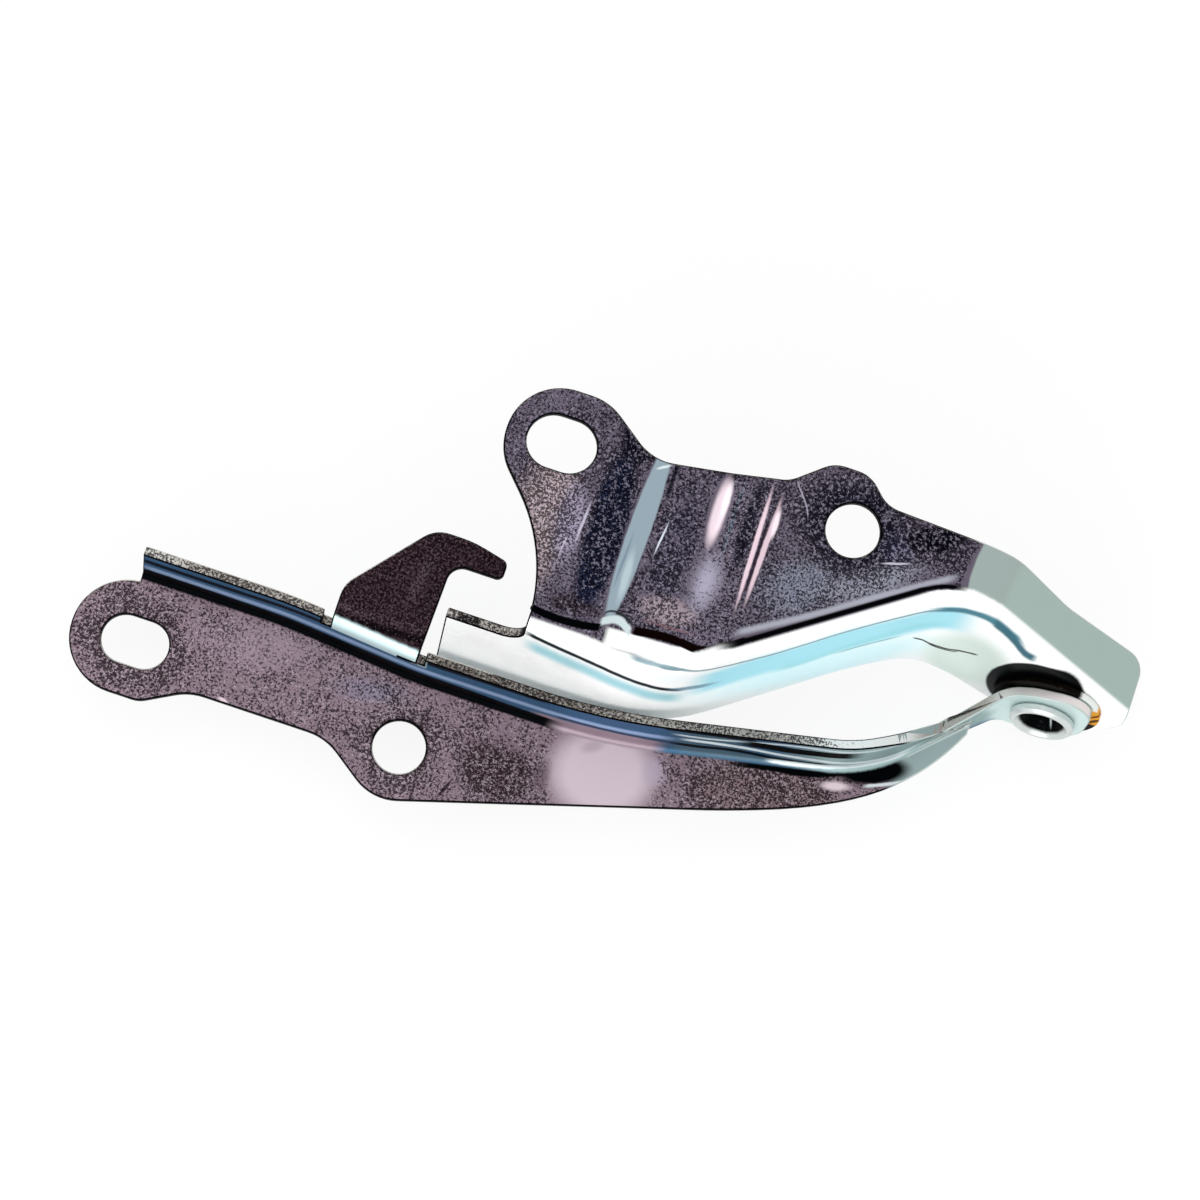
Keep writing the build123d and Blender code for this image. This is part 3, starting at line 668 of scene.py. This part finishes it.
ARM_DENSITY = (
    Patch((14.0, 56.0), (9.0, 26.0), grey(0.75), 0, 1.0, 0.4),
    Patch((28.0, 58.0), (5.0, 26.0), grey(0.8), 0, 1.0, 0.3),
    Patch((44.0, 60.0), (6.0, 18.0), grey(0.75), 0, 1.0, 0.4),
    Patch((50.6, 67.5), (2.8, 9.5), grey(0.05), 1, 1.0, 0.3),
    Patch((52.0, 50.0), (6.0, 10.0), grey(0.35), 0, 1.0, 0.6),
    Patch((70.0, 60.0), (12.0, 18.0), grey(0.6), 0, 1.0, 0.6),
    Patch((80.0, 73.0), (16.0, 14.0), grey(0.9), 0, 1.0, 0.3),
    Patch((98.0, 75.0), (9.0, 5.0), grey(0.95), 20, 1.0, 0.4),
    Patch((35.3, 57.5), (2.6, 24.0), grey(0.0), -1, 1.0, 0.1),
    Streak(((61, 41.0), (76, 50.2), (84, 55.6), (97.5, 64.6), (105, 69)), 2.2, grey(0.2), 1.0, 0.5, 2.0),
    Patch((130.0, 70.0), (25.0, 25.0), grey(0.0), 0, 1.0, 0.05),
)
# The arm web's white and cyan are painted reflection; the black patch by the pivot and the dark line below the fold
# are painted shade.
ARM_WEB_REFLECTIONS_AND_SHADE = (
    Patch((84.0, 9.0), (34.0, 13.0), srgb(218, 246, 250), 0, 1.0, 0.7),
    Streak(
        ((18, 21.5), (26, 19.0), (35, 17.0), (43, 14.5), (52, 10.5), (58, 9.5)),
        4.5, srgb(160, 212, 220), 0.95, 0.9, 5.0,
    ),
    Streak(
        ((54, 16.5), (60, 17.0), (69, 19.2), (77, 20.5), (86, 23.0), (99, 23.0), (106, 26), (114, 27.5)),
        8.5, srgb(170, 226, 238), 1.0, 0.55, 8.0,
    ),
    Streak(((72, 13.5), (79, 15.0), (86, 17.6), (99, 20.5), (108, 23)), 2.6, srgb(158, 220, 228), 0.8, 0.8, 5.0),
    Streak(((84, 14.6), (90, 16.2), (99, 16.3)), 0.6, srgb(108, 172, 178), 0.8, 0.7, 4.0),
    Streak(
        ((18, 26.9), (26, 24.3), (33, 22.5), (40, 20.5), (46.3, 17.8), (52, 15.3), (57, 14.4)),
        1.25, srgb(6, 34, 38), 1.0, 0.6, 3.0,
    ),
    Patch((50.0, 22.0), (7.5, 3.4), srgb(246, 252, 253), -8, 1.0, 0.4),
    Patch((57.5, 15.2), (6.5, 1.7), srgb(112, 150, 168), 0, 0.9, 0.7),
    Patch((51.5, 26.6), (3.8, 0.7), srgb(96, 120, 118), -4, 0.9, 0.6),
    Streak(
        (
            (41, 27.6), (45, 27.3), (53, 26.6), (60, 25.2), (69, 25.1),
            (77, 26.5), (86, 28.6), (93, 29.3), (99.5, 29.4), (106, 31),
        ),
        0.75, srgb(120, 146, 154), 0.9, 0.8, 3.0,
    ),
    Patch((114.0, 8.0), (12.0, 17.0), srgb(217, 230, 222), 0, 1.0, 0.5),
    Streak(
        ((100, 29.6), (104, 30.6), (111.5, 32.6), (115, 31.6), (119, 28.4), (122, 26), (126, 20)),
        2.1, srgb(78, 128, 142), 1.0, 0.7, 5.0,
    ),
    Streak(
        ((114.5, 31.6), (119, 28.0), (121.5, 25.2), (123.4, 22.6), (125.6, 20.4), (128.5, 19.6)),
        2.6, srgb(62, 106, 120), 1.0, 0.7, 2.0,
    ),
    Patch((131.5, 3.5), (11.6, 14.6), BLACK, 0, 1.0, 0.06),
    Streak(
        ((100.5, 14.0), (102.7, 12.4), (108, 9.6), (112, 11.0), (116.3, 11.9)),
        0.55, srgb(20, 26, 24), 0.95, 0.6, 1.0,
    ),
    Streak(((104.5, 10.6), (108, 8.9), (112, 10.4)), 0.4, srgb(20, 26, 24), 0.9, 0.6, 1.0),
)
ARM_EDGE = (Patch((6.6, 20.8), (2.9, 2.0), BLACK, 0, 0.95, 0.3),)
BRACKET_EDGE = (
    Patch((20.0, 1.7), (34.0, 3.0), srgb(112, 104, 98), 0, 0.9, 0.7),
    Patch((100.0, 4.0), (20.0, 6.0), srgb(226, 230, 228), 0, 0.95, 0.6),
    Patch((-64.0, 1.7), (9.0, 3.0), srgb(208, 206, 200), 0, 0.8, 0.8),
    Patch((136.0, 9.0), (20.0, 12.0), srgb(226, 220, 218), 0, 1.0, 0.4),
)
# Painted shade in the rivet's hollow head, and two painted highlights on its rim.
RIVET_HOLLOW_SHADE_AND_HIGHLIGHTS = (
    Patch((135.2, 0.0), (5.5, 5.5), srgb(6, 7, 8), 0, 1.0, 0.12),
    Patch((132.6, 1.4), (0.4, 2.6), srgb(206, 216, 218), -20, 0.8, 0.7),
    Patch((137.4, -2.2), (0.4, 1.8), srgb(206, 216, 218), 30, 0.7, 0.7),
)
# The bush flange's bronze gold, a painted highlight above it, and dark streaks.
BUSH_BRONZE_AND_HIGHLIGHT = (
    Patch((145.0, 8.5), (5.5, 4.5), srgb(232, 236, 232), -30, 1.0, 0.25),
    Patch((146.4, 2.4), (4.5, 4.4), srgb(224, 164, 52), -30, 1.0, 0.3),
    Patch((146.2, 3.4), (2.4, 0.5), srgb(92, 50, 16), 60, 0.85, 0.5),
    Patch((146.4, 0.6), (2.6, 0.7), srgb(58, 30, 12), 60, 0.9, 0.5),
)


class Finishes:
    """All materials of the hinge, made once."""

    def __init__(self) -> None:
        """Build the shared groups and every material."""
        self.groups = {
            "place": place_group(),
            "patch": patch_group(),
            "streak": streak_group(),
            "speckle": speckle_group(),
        }
        self.bracket = self.bracket_plating()
        self.arm = self.arm_plating()
        self.bracket_edge = self.sheared_edge("bracket_edge", BRACKET_EDGE, bright_from=106.0)
        self.arm_edge = self.sheared_edge("arm_edge", ARM_EDGE, bright_from=104.0)
        self.rivet = self.turned("rivet_zinc", srgb(208, 214, 212), RIVET_HOLLOW_SHADE_AND_HIGHLIGHTS, roughness=0.28)
        # Painted shade: near-black paint stands for the bronze bush in shade behind the ear.
        self.bronze_in_painted_shade = self.turned("bush_bronze", srgb(14, 10, 8), BUSH_BRONZE_AND_HIGHLIGHT, roughness=0.34)

    def start(self, name: str) -> tuple[bpy.types.Material, Nodes, bpy.types.Node]:
        """Start a material with its own Principled BSDF.

        Args:
            name: The material's name.

        Returns:
            The material, its node helper and its Principled BSDF.
        """
        material = bpy.data.materials.new(name)
        material.use_nodes = True
        nodes = Nodes(material.node_tree)
        return material, nodes, material.node_tree.nodes["Principled BSDF"]

    def place(self, nodes: Nodes, waver: float) -> bpy.types.NodeOutputs:
        """Place the group that tells where a point lies.

        Args:
            nodes: The material's node helper.
            waver: How far, in mm, the borders of the paint waver.

        Returns:
            The group's outputs.
        """
        return nodes.group(self.groups["place"], {"Waver": waver}).outputs

    def paint(self, nodes: Nodes, colour: Socket | Colour, strokes: tuple, u: Socket, v: Socket) -> Socket:
        """Paint strokes over a colour, one after the other.

        Args:
            nodes: The material's node helper.
            colour: The colour to start from.
            strokes: Patches and streaks.
            u: Socket of the first coordinate.
            v: Socket of the second coordinate.

        Returns:
            The painted colour's socket.
        """
        for stroke in strokes:
            mask = stroke.mask(nodes, self.groups, u, v)
            colour = nodes.mix(nodes.math("MULTIPLY", mask, stroke.strength), colour, stroke.colour)
        return colour

    def speckled(
        self, nodes: Nodes, colour: Socket | Colour, density: Value, dark: Colour, light: Colour
    ) -> tuple[Socket, Socket]:
        """Sprinkle fine dark and light grains over a colour.

        Args:
            nodes: The material's node helper.
            colour: The colour to start from.
            density: Socket or number, how dense the grains are.
            dark: Colour of the dark grains.
            light: Colour of the light grains.

        Returns:
            The colour and the dark grains' mask.
        """
        speckle = nodes.group(self.groups["speckle"], {"Density": density}).outputs
        shown = nodes.math("MINIMUM", nodes.math("MULTIPLY", density, 2.0), 1.0)
        light_share = nodes.both(nodes.math("MULTIPLY", speckle["Light"], LIGHT_GRAIN_SHARE), shown)
        dark_share = nodes.both(nodes.math("MULTIPLY", speckle["Dark"], DARK_GRAIN_SHARE), shown)
        lit = nodes.mix(LIGHT_GRAIN_TINT, colour, light)
        colour = nodes.mix(dark_share, colour, dark)
        return nodes.mix(light_share, colour, lit), speckle["Dark"]

    def finish(
        self, nodes: Nodes, shader: bpy.types.Node, colour: Socket, grain: Socket, metallic: float, roughness: float
    ) -> None:
        """Join a colour and a grain to the shader.

        Args:
            nodes: The material's node helper.
            shader: Its Principled BSDF.
            colour: The colour's socket.
            grain: Socket of the grain's mask, which roughens the metal.
            metallic: How metallic it is.
            roughness: Its lowest roughness.
        """
        links = nodes.tree.links
        links.new(colour, shader.inputs["Base Color"])
        # The tint and the low level keep black paint black where the sheet is seen at a flat angle.
        links.new(colour, shader.inputs["Specular Tint"])
        shader.inputs["Specular IOR Level"].default_value = SPECULAR_LEVEL
        shader.inputs["Metallic"].default_value = metallic
        links.new(nodes.multiply_add(grain, GRAIN_ROUGHNESS, roughness), shader.inputs["Roughness"])

    def bracket_plating(self) -> bpy.types.Material:
        """Make the bracket's plated skin: its flat, web, ear and hook, with painted reflections and shade.

        Returns:
            The material.
        """
        material, nodes, shader = self.start("bracket_zinc")
        place, calm = self.place(nodes, 0.8), self.place(nodes, 0.25)
        density = self.paint(nodes, grey(0.5), BRACKET_DENSITY, place["X"], place["Y"])
        level = nodes.add("ShaderNodeSeparateColor", {0: density}).outputs[0]
        # Painted reflection and mottle: the flat's dark mauve and its pale patches.
        flat = self.paint(nodes, srgb(136, 118, 128), BRACKET_FLAT_MOTTLE_AND_REFLECTION, place["X"], place["Y"])
        flat, grain = self.speckled(nodes, flat, level, srgb(22, 13, 18), srgb(222, 206, 216))
        flat = self.paint(nodes, flat, BRACKET_MARKS_AND_PAINTED_LIGHT, calm["X"], calm["Y"])
        # Painted reflection and shade: the web's blue and its bands.
        web = self.paint(nodes, srgb(62, 98, 130), BRACKET_WEB_REFLECTION_PATCHES, place["X"], place["Height"])
        web = self.paint(nodes, web, BRACKET_WEB_REFLECTIONS_AND_SHADE, calm["X"], calm["Height"])
        # Painted reflection: faces that lean to the side take the web's bright colour, faces that look up take the
        # flat's dark one.
        colour = nodes.mix(nodes.ramp(place["Side"], *BRACKET_FOLD_SIDE), flat, web)
        # Painted reflection: the bend at the hook's root is pale cyan.
        hook_root_reflection = nodes.both(
            nodes.ramp(calm["Z"], *HOOK_ROOT_Z),
            nodes.ramp(calm["X"], *HOOK_ROOT_START_X),
            nodes.ramp(calm["X"], *HOOK_ROOT_END_X),
        )
        colour = nodes.mix(hook_root_reflection, colour, srgb(198, 222, 224))
        # Painted reflection and shade on the hook.
        hook = self.paint(nodes, srgb(62, 47, 53), HOOK_REFLECTION_AND_SHADE, place["X"], place["Y"])
        hook, _ = self.speckled(nodes, hook, 0.7, srgb(14, 6, 10), srgb(122, 106, 114))
        raised = nodes.both(nodes.ramp(calm["Z"], *HOOK_Z), nodes.ramp(place["X"], *HOOK_END_X))
        colour = nodes.mix(raised, colour, hook)
        # Painted light: the web's back is pale so that it bounces light.
        colour = nodes.mix(nodes.ramp(place["Side"], *WEB_BACK_SIDE), colour, WEB_BACK_BOUNCE_LIGHT)
        self.finish(nodes, shader, colour, grain, metallic=0.5, roughness=0.3)
        return material

    def arm_plating(self) -> bpy.types.Material:
        """Make the arm's plated skin: its flat, trough, slope and web, with painted reflections and shade.

        Returns:
            The material.
        """
        material, nodes, shader = self.start("arm_zinc")
        place, calm = self.place(nodes, 0.7), self.place(nodes, 0.3)
        density = self.paint(nodes, grey(0.6), ARM_DENSITY, place["X"], place["Y"])
        level = nodes.add("ShaderNodeSeparateColor", {0: density}).outputs[0]
        # Painted reflection and mottle: the flat's dark colour and its bands.
        flat = self.paint(nodes, srgb(100, 92, 106), ARM_FLAT_MOTTLE_AND_REFLECTION, place["X"], place["Y"])
        flat, grain = self.speckled(nodes, flat, level, srgb(6, 5, 14), srgb(184, 176, 196))
        flat = self.paint(nodes, flat, ARM_SCRATCHES_AND_PAINTED_LIGHT, calm["X"], calm["Y"])
        # Painted reflection and shade on the arm's web.
        web = self.paint(nodes, WHITE, ARM_WEB_REFLECTIONS_AND_SHADE, calm["X"], calm["Height"])
        side = place["Side"]
        # Painted reflection and shade: along the jog the flat's dark colour reaches further round the fold and ends
        # in a black line of painted shade.
        jog = nodes.both(
            nodes.ramp(place["X"], *ARM_LATE_FOLD_START_X), nodes.ramp(place["X"], *ARM_LATE_FOLD_END_X)
        )
        spans = {0: jog, 2: nodes.ramp(side, *ARM_FOLD_SIDE), 3: nodes.ramp(side, *ARM_LATE_FOLD_SIDE)}
        colour = nodes.mix(nodes.add("ShaderNodeMix", spans).outputs[0], flat, web)
        fold_shade_line = nodes.both(
            nodes.ramp(side, *ARM_LINE_BEGIN_SIDE), nodes.ramp(side, *ARM_LINE_END_SIDE), jog
        )
        colour = nodes.mix(fold_shade_line, colour, BLACK)
        # Painted light: the web's back is pale so that it bounces light.
        colour = nodes.mix(nodes.ramp(side, *WEB_BACK_SIDE), colour, WEB_BACK_BOUNCE_LIGHT)
        self.finish(nodes, shader, colour, grain, metallic=0.35, roughness=0.28)
        return material

    def sheared_edge(self, name: str, strokes: tuple, bright_from: float) -> bpy.types.Material:
        """Make the sheared edge: grey and speckled along the webs' tops, painted near-black as shade round the
        flats.

        Args:
            name: The material's name.
            strokes: What is painted on it, along X and up the webs.
            bright_from: Place along X, in mm, beyond which the flats' edge is pale grey instead of painted shade.

        Returns:
            The material.
        """
        material, nodes, shader = self.start(name)
        place = self.place(nodes, 0.4)
        bright = nodes.ramp(place["X"], bright_from, bright_from + 3.0)
        # Painted shade: round the flats the sheared edge is near-black, and it is pale grey beyond bright_from.
        rim = nodes.mix(bright, srgb(4, 4, 6), srgb(188, 200, 196))
        hook_rim = nodes.both(
            nodes.ramp(place["Side"], *HOOK_RIM_SIDE),
            nodes.ramp(place["Up"], *HOOK_RIM_UP),
            nodes.ramp(place["X"], *HOOK_RIM_END_X),
            nodes.ramp(place["Height"], *HOOK_RIM_HEIGHT),
        )
        rim = nodes.mix(hook_rim, rim, srgb(206, 204, 198))
        top = self.paint(nodes, srgb(164, 158, 152), strokes, place["X"], place["Height"])
        density = nodes.math("MULTIPLY", nodes.ramp(place["X"], *EDGE_GRAIN_END_X), 0.7)
        top, grain = self.speckled(nodes, top, density, srgb(34, 32, 32), srgb(226, 226, 222))
        miss = nodes.math("ABSOLUTE", nodes.multiply_add(place["Up"], WEB_TOP_LEAN, place["Side"]))
        on_web = nodes.both(nodes.ramp(miss, *WEB_TOP_MISS), nodes.ramp(place["Up"], *WEB_TOP_UP))
        self.finish(nodes, shader, nodes.mix(on_web, rim, top), grain, metallic=0.5, roughness=0.4)
        return material

    def turned(self, name: str, colour: Colour, strokes: tuple, roughness: float) -> bpy.types.Material:
        """Make a turned or headed metal.

        Args:
            name: The material's name.
            colour: Its colour.
            strokes: What is painted on it, along X and up the webs.
            roughness: Its lowest roughness.

        Returns:
            The material.
        """
        material, nodes, shader = self.start(name)
        place = self.place(nodes, 0.3)
        painted = self.paint(nodes, colour, strokes, place["X"], place["Height"])
        painted, grain = self.speckled(nodes, painted, 0.04, srgb(60, 60, 62), srgb(238, 240, 240))
        self.finish(nodes, shader, painted, grain, metallic=0.6, roughness=roughness)
        return material


@dataclass
class Sheet:
    """A pressed sheet piece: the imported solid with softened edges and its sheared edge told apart.

    Attributes:
        node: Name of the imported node.
        body: Body it rides on.
        skin: Material of its plated skin.
        sheared: Material of its sheared edge.
        corners: Tight corners, in mm, whose edges stay sharp.
        corner_reach: How far round such a corner the edges stay sharp.
        thickness: Sheet thickness.
        thickness_slack: Share of the thickness by which a measured one may differ.
        edge_round: Rounding of its edges.
        sharp: Angle between faces from which an edge is sharp.
        same_plane: Angle below which neighbouring faces are joined.
        same_point: Distance below which points are merged.
    """

    node: str
    body: str
    skin: bpy.types.Material
    sheared: bpy.types.Material
    corners: tuple[Vector, ...] = ()
    corner_reach: float = 1.6 * MM
    thickness: float = 2.4 * MM
    thickness_slack: float = 0.12
    edge_round: float = 0.34 * MM
    sharp: float = math.radians(32)
    same_plane: float = math.radians(0.4)
    same_point: float = 0.002 * MM

    def build(self) -> bpy.types.Object:
        """Make the dressed piece and hide the node it stands for.

        Returns:
            The new object.
        """
        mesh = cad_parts[self.node].data.copy()
        mesh.name = f"{self.node}_dressed"
        mesh.materials.clear()
        mesh.materials.append(self.skin)
        mesh.materials.append(self.sheared)
        work = bmesh.new()
        work.from_mesh(mesh)
        bmesh.ops.remove_doubles(work, verts=work.verts, dist=self.same_point)
        self.tell_faces_apart(work)
        bmesh.ops.dissolve_limit(
            work, angle_limit=self.same_plane, use_dissolve_boundaries=False,
            verts=work.verts, edges=work.edges, delimit={"MATERIAL"},
        )
        self.weigh_edges(work)
        work.to_mesh(mesh)
        work.free()
        piece = bpy.data.objects.new(f"{self.node}_sheet", mesh)
        bpy.context.scene.collection.objects.link(piece)
        rounding = piece.modifiers.new("edges", "BEVEL")
        rounding.limit_method = "WEIGHT"
        rounding.width = self.edge_round
        rounding.segments = 2
        rounding.use_clamp_overlap = False
        rounding.harden_normals = True
        rounding.material = Face.SHEARED.value
        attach(piece, self.body)
        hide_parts(self.node)
        log.info("%s: %d faces", piece.name, len(mesh.polygons))
        return piece

    def weigh_edges(self, work: bmesh.types.BMesh) -> None:
        """Mark the sharp edges, and give those away from tight corners their rounding.

        Args:
            work: The merged mesh.
        """
        weight = work.edges.layers.float.new("bevel_weight_edge")
        for edge in work.edges:
            edge.smooth = not (edge.is_manifold and edge.calc_face_angle(0) > self.sharp)
            tight = any(
                (vert.co - corner * MM).length < self.corner_reach for vert in edge.verts for corner in self.corners
            )
            edge[weight] = 0.0 if edge.smooth or tight else 1.0

    def tell_faces_apart(self, work: bmesh.types.BMesh) -> None:
        """Give the sheared slot to every face that has no opposite skin one thickness behind it.

        Args:
            work: The merged mesh.
        """
        work.faces.ensure_lookup_table()
        tree = BVHTree.FromBMesh(work)
        inset = 0.01 * MM
        for face in work.faces:
            face.smooth = True
            middle = face.calc_center_median()
            place, _, _, distance = tree.ray_cast(middle - face.normal * inset, -face.normal)
            depth = distance if place is not None else 0.0
            skin = abs(depth - self.thickness) < self.thickness_slack * self.thickness
            face.material_index = Face.SKIN.value if skin else Face.SHEARED.value


@dataclass
class Turned:
    """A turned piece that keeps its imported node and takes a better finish.

    Attributes:
        node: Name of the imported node.
        material: Its finish.
    """

    node: str
    material: bpy.types.Material

    def build(self) -> bpy.types.Object:
        """Put the finish on the node.

        Returns:
            The node's object.
        """
        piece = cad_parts[self.node]
        for slot in piece.material_slots:
            slot.material = self.material
        log.info("%s: finished", piece.name)
        return piece


@dataclass
class Studio:
    """Camera, floor and light, as in the photograph.

    Attributes:
        target: Point that the camera looks at.
        distance: Its distance from that point.
        tilt: How far the camera leans from straight above.
        roll: Turn of the picture.
        focal_pixels: Focal length in pixels of the photo.
        picture_pixels: Width of the photo.
        sensor: Width of the camera's sensor, in mm.
        floor_glow: Share of the floor's plain white to the camera; the rest takes the shadow.
        lamps: Name, place in m and power in W of each soft lamp.
        lamp_size: Side of a lamp, in m.
        zenith: Height of a ray, as its Z part, from which the room darkens and where it is darkest.
        zenith_colour: The room's colour straight above.
        room_strength: How brightly the room shines.
    """

    target: Vector = field(default_factory=lambda: Vector((32.2, 44.0, 15.0)) * MM)
    distance: float = 850 * MM
    tilt: float = math.radians(9.0)
    roll: float = math.radians(18.5)
    focal_pixels: float = 3825.0
    picture_pixels: float = 1200.0
    sensor: float = 36.0
    floor_glow: float = 0.86
    lamps: tuple[tuple[str, tuple[float, float, float], float], ...] = (
        ("key", (-0.5, 0.5, 1.1), 3.0),
        ("front", (0.05, -0.95, 0.45), 4.5),
    )
    lamp_size: float = 0.9
    zenith: tuple[float, float] = (0.55, 0.95)
    zenith_colour: Colour = (0.9, 0.9, 0.92)
    room_strength: float = 0.95

    def build(self) -> None:
        """Build everything that isn't the hinge."""
        self.add_camera()
        self.add_floor()
        self.add_lamps()
        self.add_world()

    def add_camera(self) -> None:
        """Place the camera."""
        along = Vector((1, 0, 0))
        up_before = Vector((0, math.cos(self.tilt), math.sin(self.tilt)))
        back = Vector((0, -math.sin(self.tilt), math.cos(self.tilt)))
        right = along * math.cos(self.roll) + up_before * math.sin(self.roll)
        up = -along * math.sin(self.roll) + up_before * math.cos(self.roll)
        data = bpy.data.cameras.new("camera")
        data.sensor_width = self.sensor
        data.lens = self.focal_pixels / self.picture_pixels * self.sensor
        data.clip_end = 20
        camera = bpy.data.objects.new("camera", data)
        turn = Matrix((right, up, back)).transposed().to_4x4()
        camera.matrix_world = Matrix.Translation(self.target + back * self.distance) @ turn
        bpy.context.scene.collection.objects.link(camera)
        bpy.context.scene.camera = camera

    def add_floor(self) -> None:
        """Lay the pale floor just under the hinge."""
        work = bmesh.new()
        bmesh.ops.create_grid(work, x_segments=1, y_segments=1, size=4)
        low = cad_bounds[0][2] - 0.5 * MM
        bmesh.ops.translate(work, verts=work.verts, vec=(0, 0, low))
        mesh = bpy.data.meshes.new("floor")
        work.to_mesh(mesh)
        work.free()
        material = bpy.data.materials.new("floor")
        material.use_nodes = True
        tree = material.node_tree
        nodes = Nodes(tree)
        tree.nodes.remove(tree.nodes["Principled BSDF"])
        path = nodes.add("ShaderNodeLightPath")
        seen = nodes.math("MAXIMUM", path.outputs["Is Camera Ray"], path.outputs["Is Glossy Ray"])
        seen = nodes.math("MAXIMUM", seen, path.outputs["Is Transmission Ray"])
        plain = nodes.add("ShaderNodeBsdfDiffuse", {"Color": (0.96, 0.96, 0.96, 1)})
        white = nodes.add("ShaderNodeEmission", {"Color": (1, 1, 1, 1), "Strength": 1.0})
        share = nodes.math("MULTIPLY", seen, self.floor_glow)
        both = nodes.add("ShaderNodeMixShader", {0: share, 1: plain.outputs[0], 2: white.outputs[0]})
        tree.links.new(both.outputs[0], tree.nodes["Material Output"].inputs["Surface"])
        mesh.materials.append(material)
        floor = bpy.data.objects.new("floor", mesh)
        bpy.context.scene.collection.objects.link(floor)

    def add_lamps(self) -> None:
        """Hang the soft lamps."""
        for name, place, power in self.lamps:
            data = bpy.data.lights.new(name, "AREA")
            data.size = self.lamp_size
            data.energy = power
            lamp = bpy.data.objects.new(name, data)
            aim = (self.target - Vector(place)).to_track_quat("-Z", "Y")
            lamp.matrix_world = Matrix.Translation(place) @ aim.to_matrix().to_4x4()
            bpy.context.scene.collection.objects.link(lamp)

    def add_world(self) -> None:
        """Light the room softly, a little darker straight above."""
        world = bpy.data.worlds.new("room")
        bpy.context.scene.world = world
        world.use_nodes = True
        tree = world.node_tree
        nodes = Nodes(tree)
        place = nodes.add("ShaderNodeTexCoord").outputs["Generated"]
        height = nodes.add("ShaderNodeSeparateXYZ", {0: place}).outputs["Z"]
        above = nodes.ramp(height, *self.zenith)
        colour = nodes.mix(above, (1.0, 1.0, 1.0), self.zenith_colour)
        background = tree.nodes["Background"]
        tree.links.new(colour, background.inputs["Color"])
        background.inputs["Strength"].default_value = self.room_strength


def main() -> None:
    """Build the hinge and its studio, and report the pieces."""
    logging.basicConfig(level=logging.INFO, format="%(message)s")
    finishes = Finishes()
    for part in (
        Sheet("body_bracket", "bracket", finishes.bracket, finishes.bracket_edge, TIGHT_CORNERS),
        Sheet("hood_arm", "arm", finishes.arm, finishes.arm_edge),
        Turned("pivot_rivet", finishes.rivet),
        Turned("rivet_washer", finishes.rivet),
        Turned("pivot_bush", finishes.bronze_in_painted_shade),
    ):
        part.build()
    Studio().build()
    bpy.context.scene.view_settings.view_transform = "Standard"


if __name__ == "__main__":
    main()
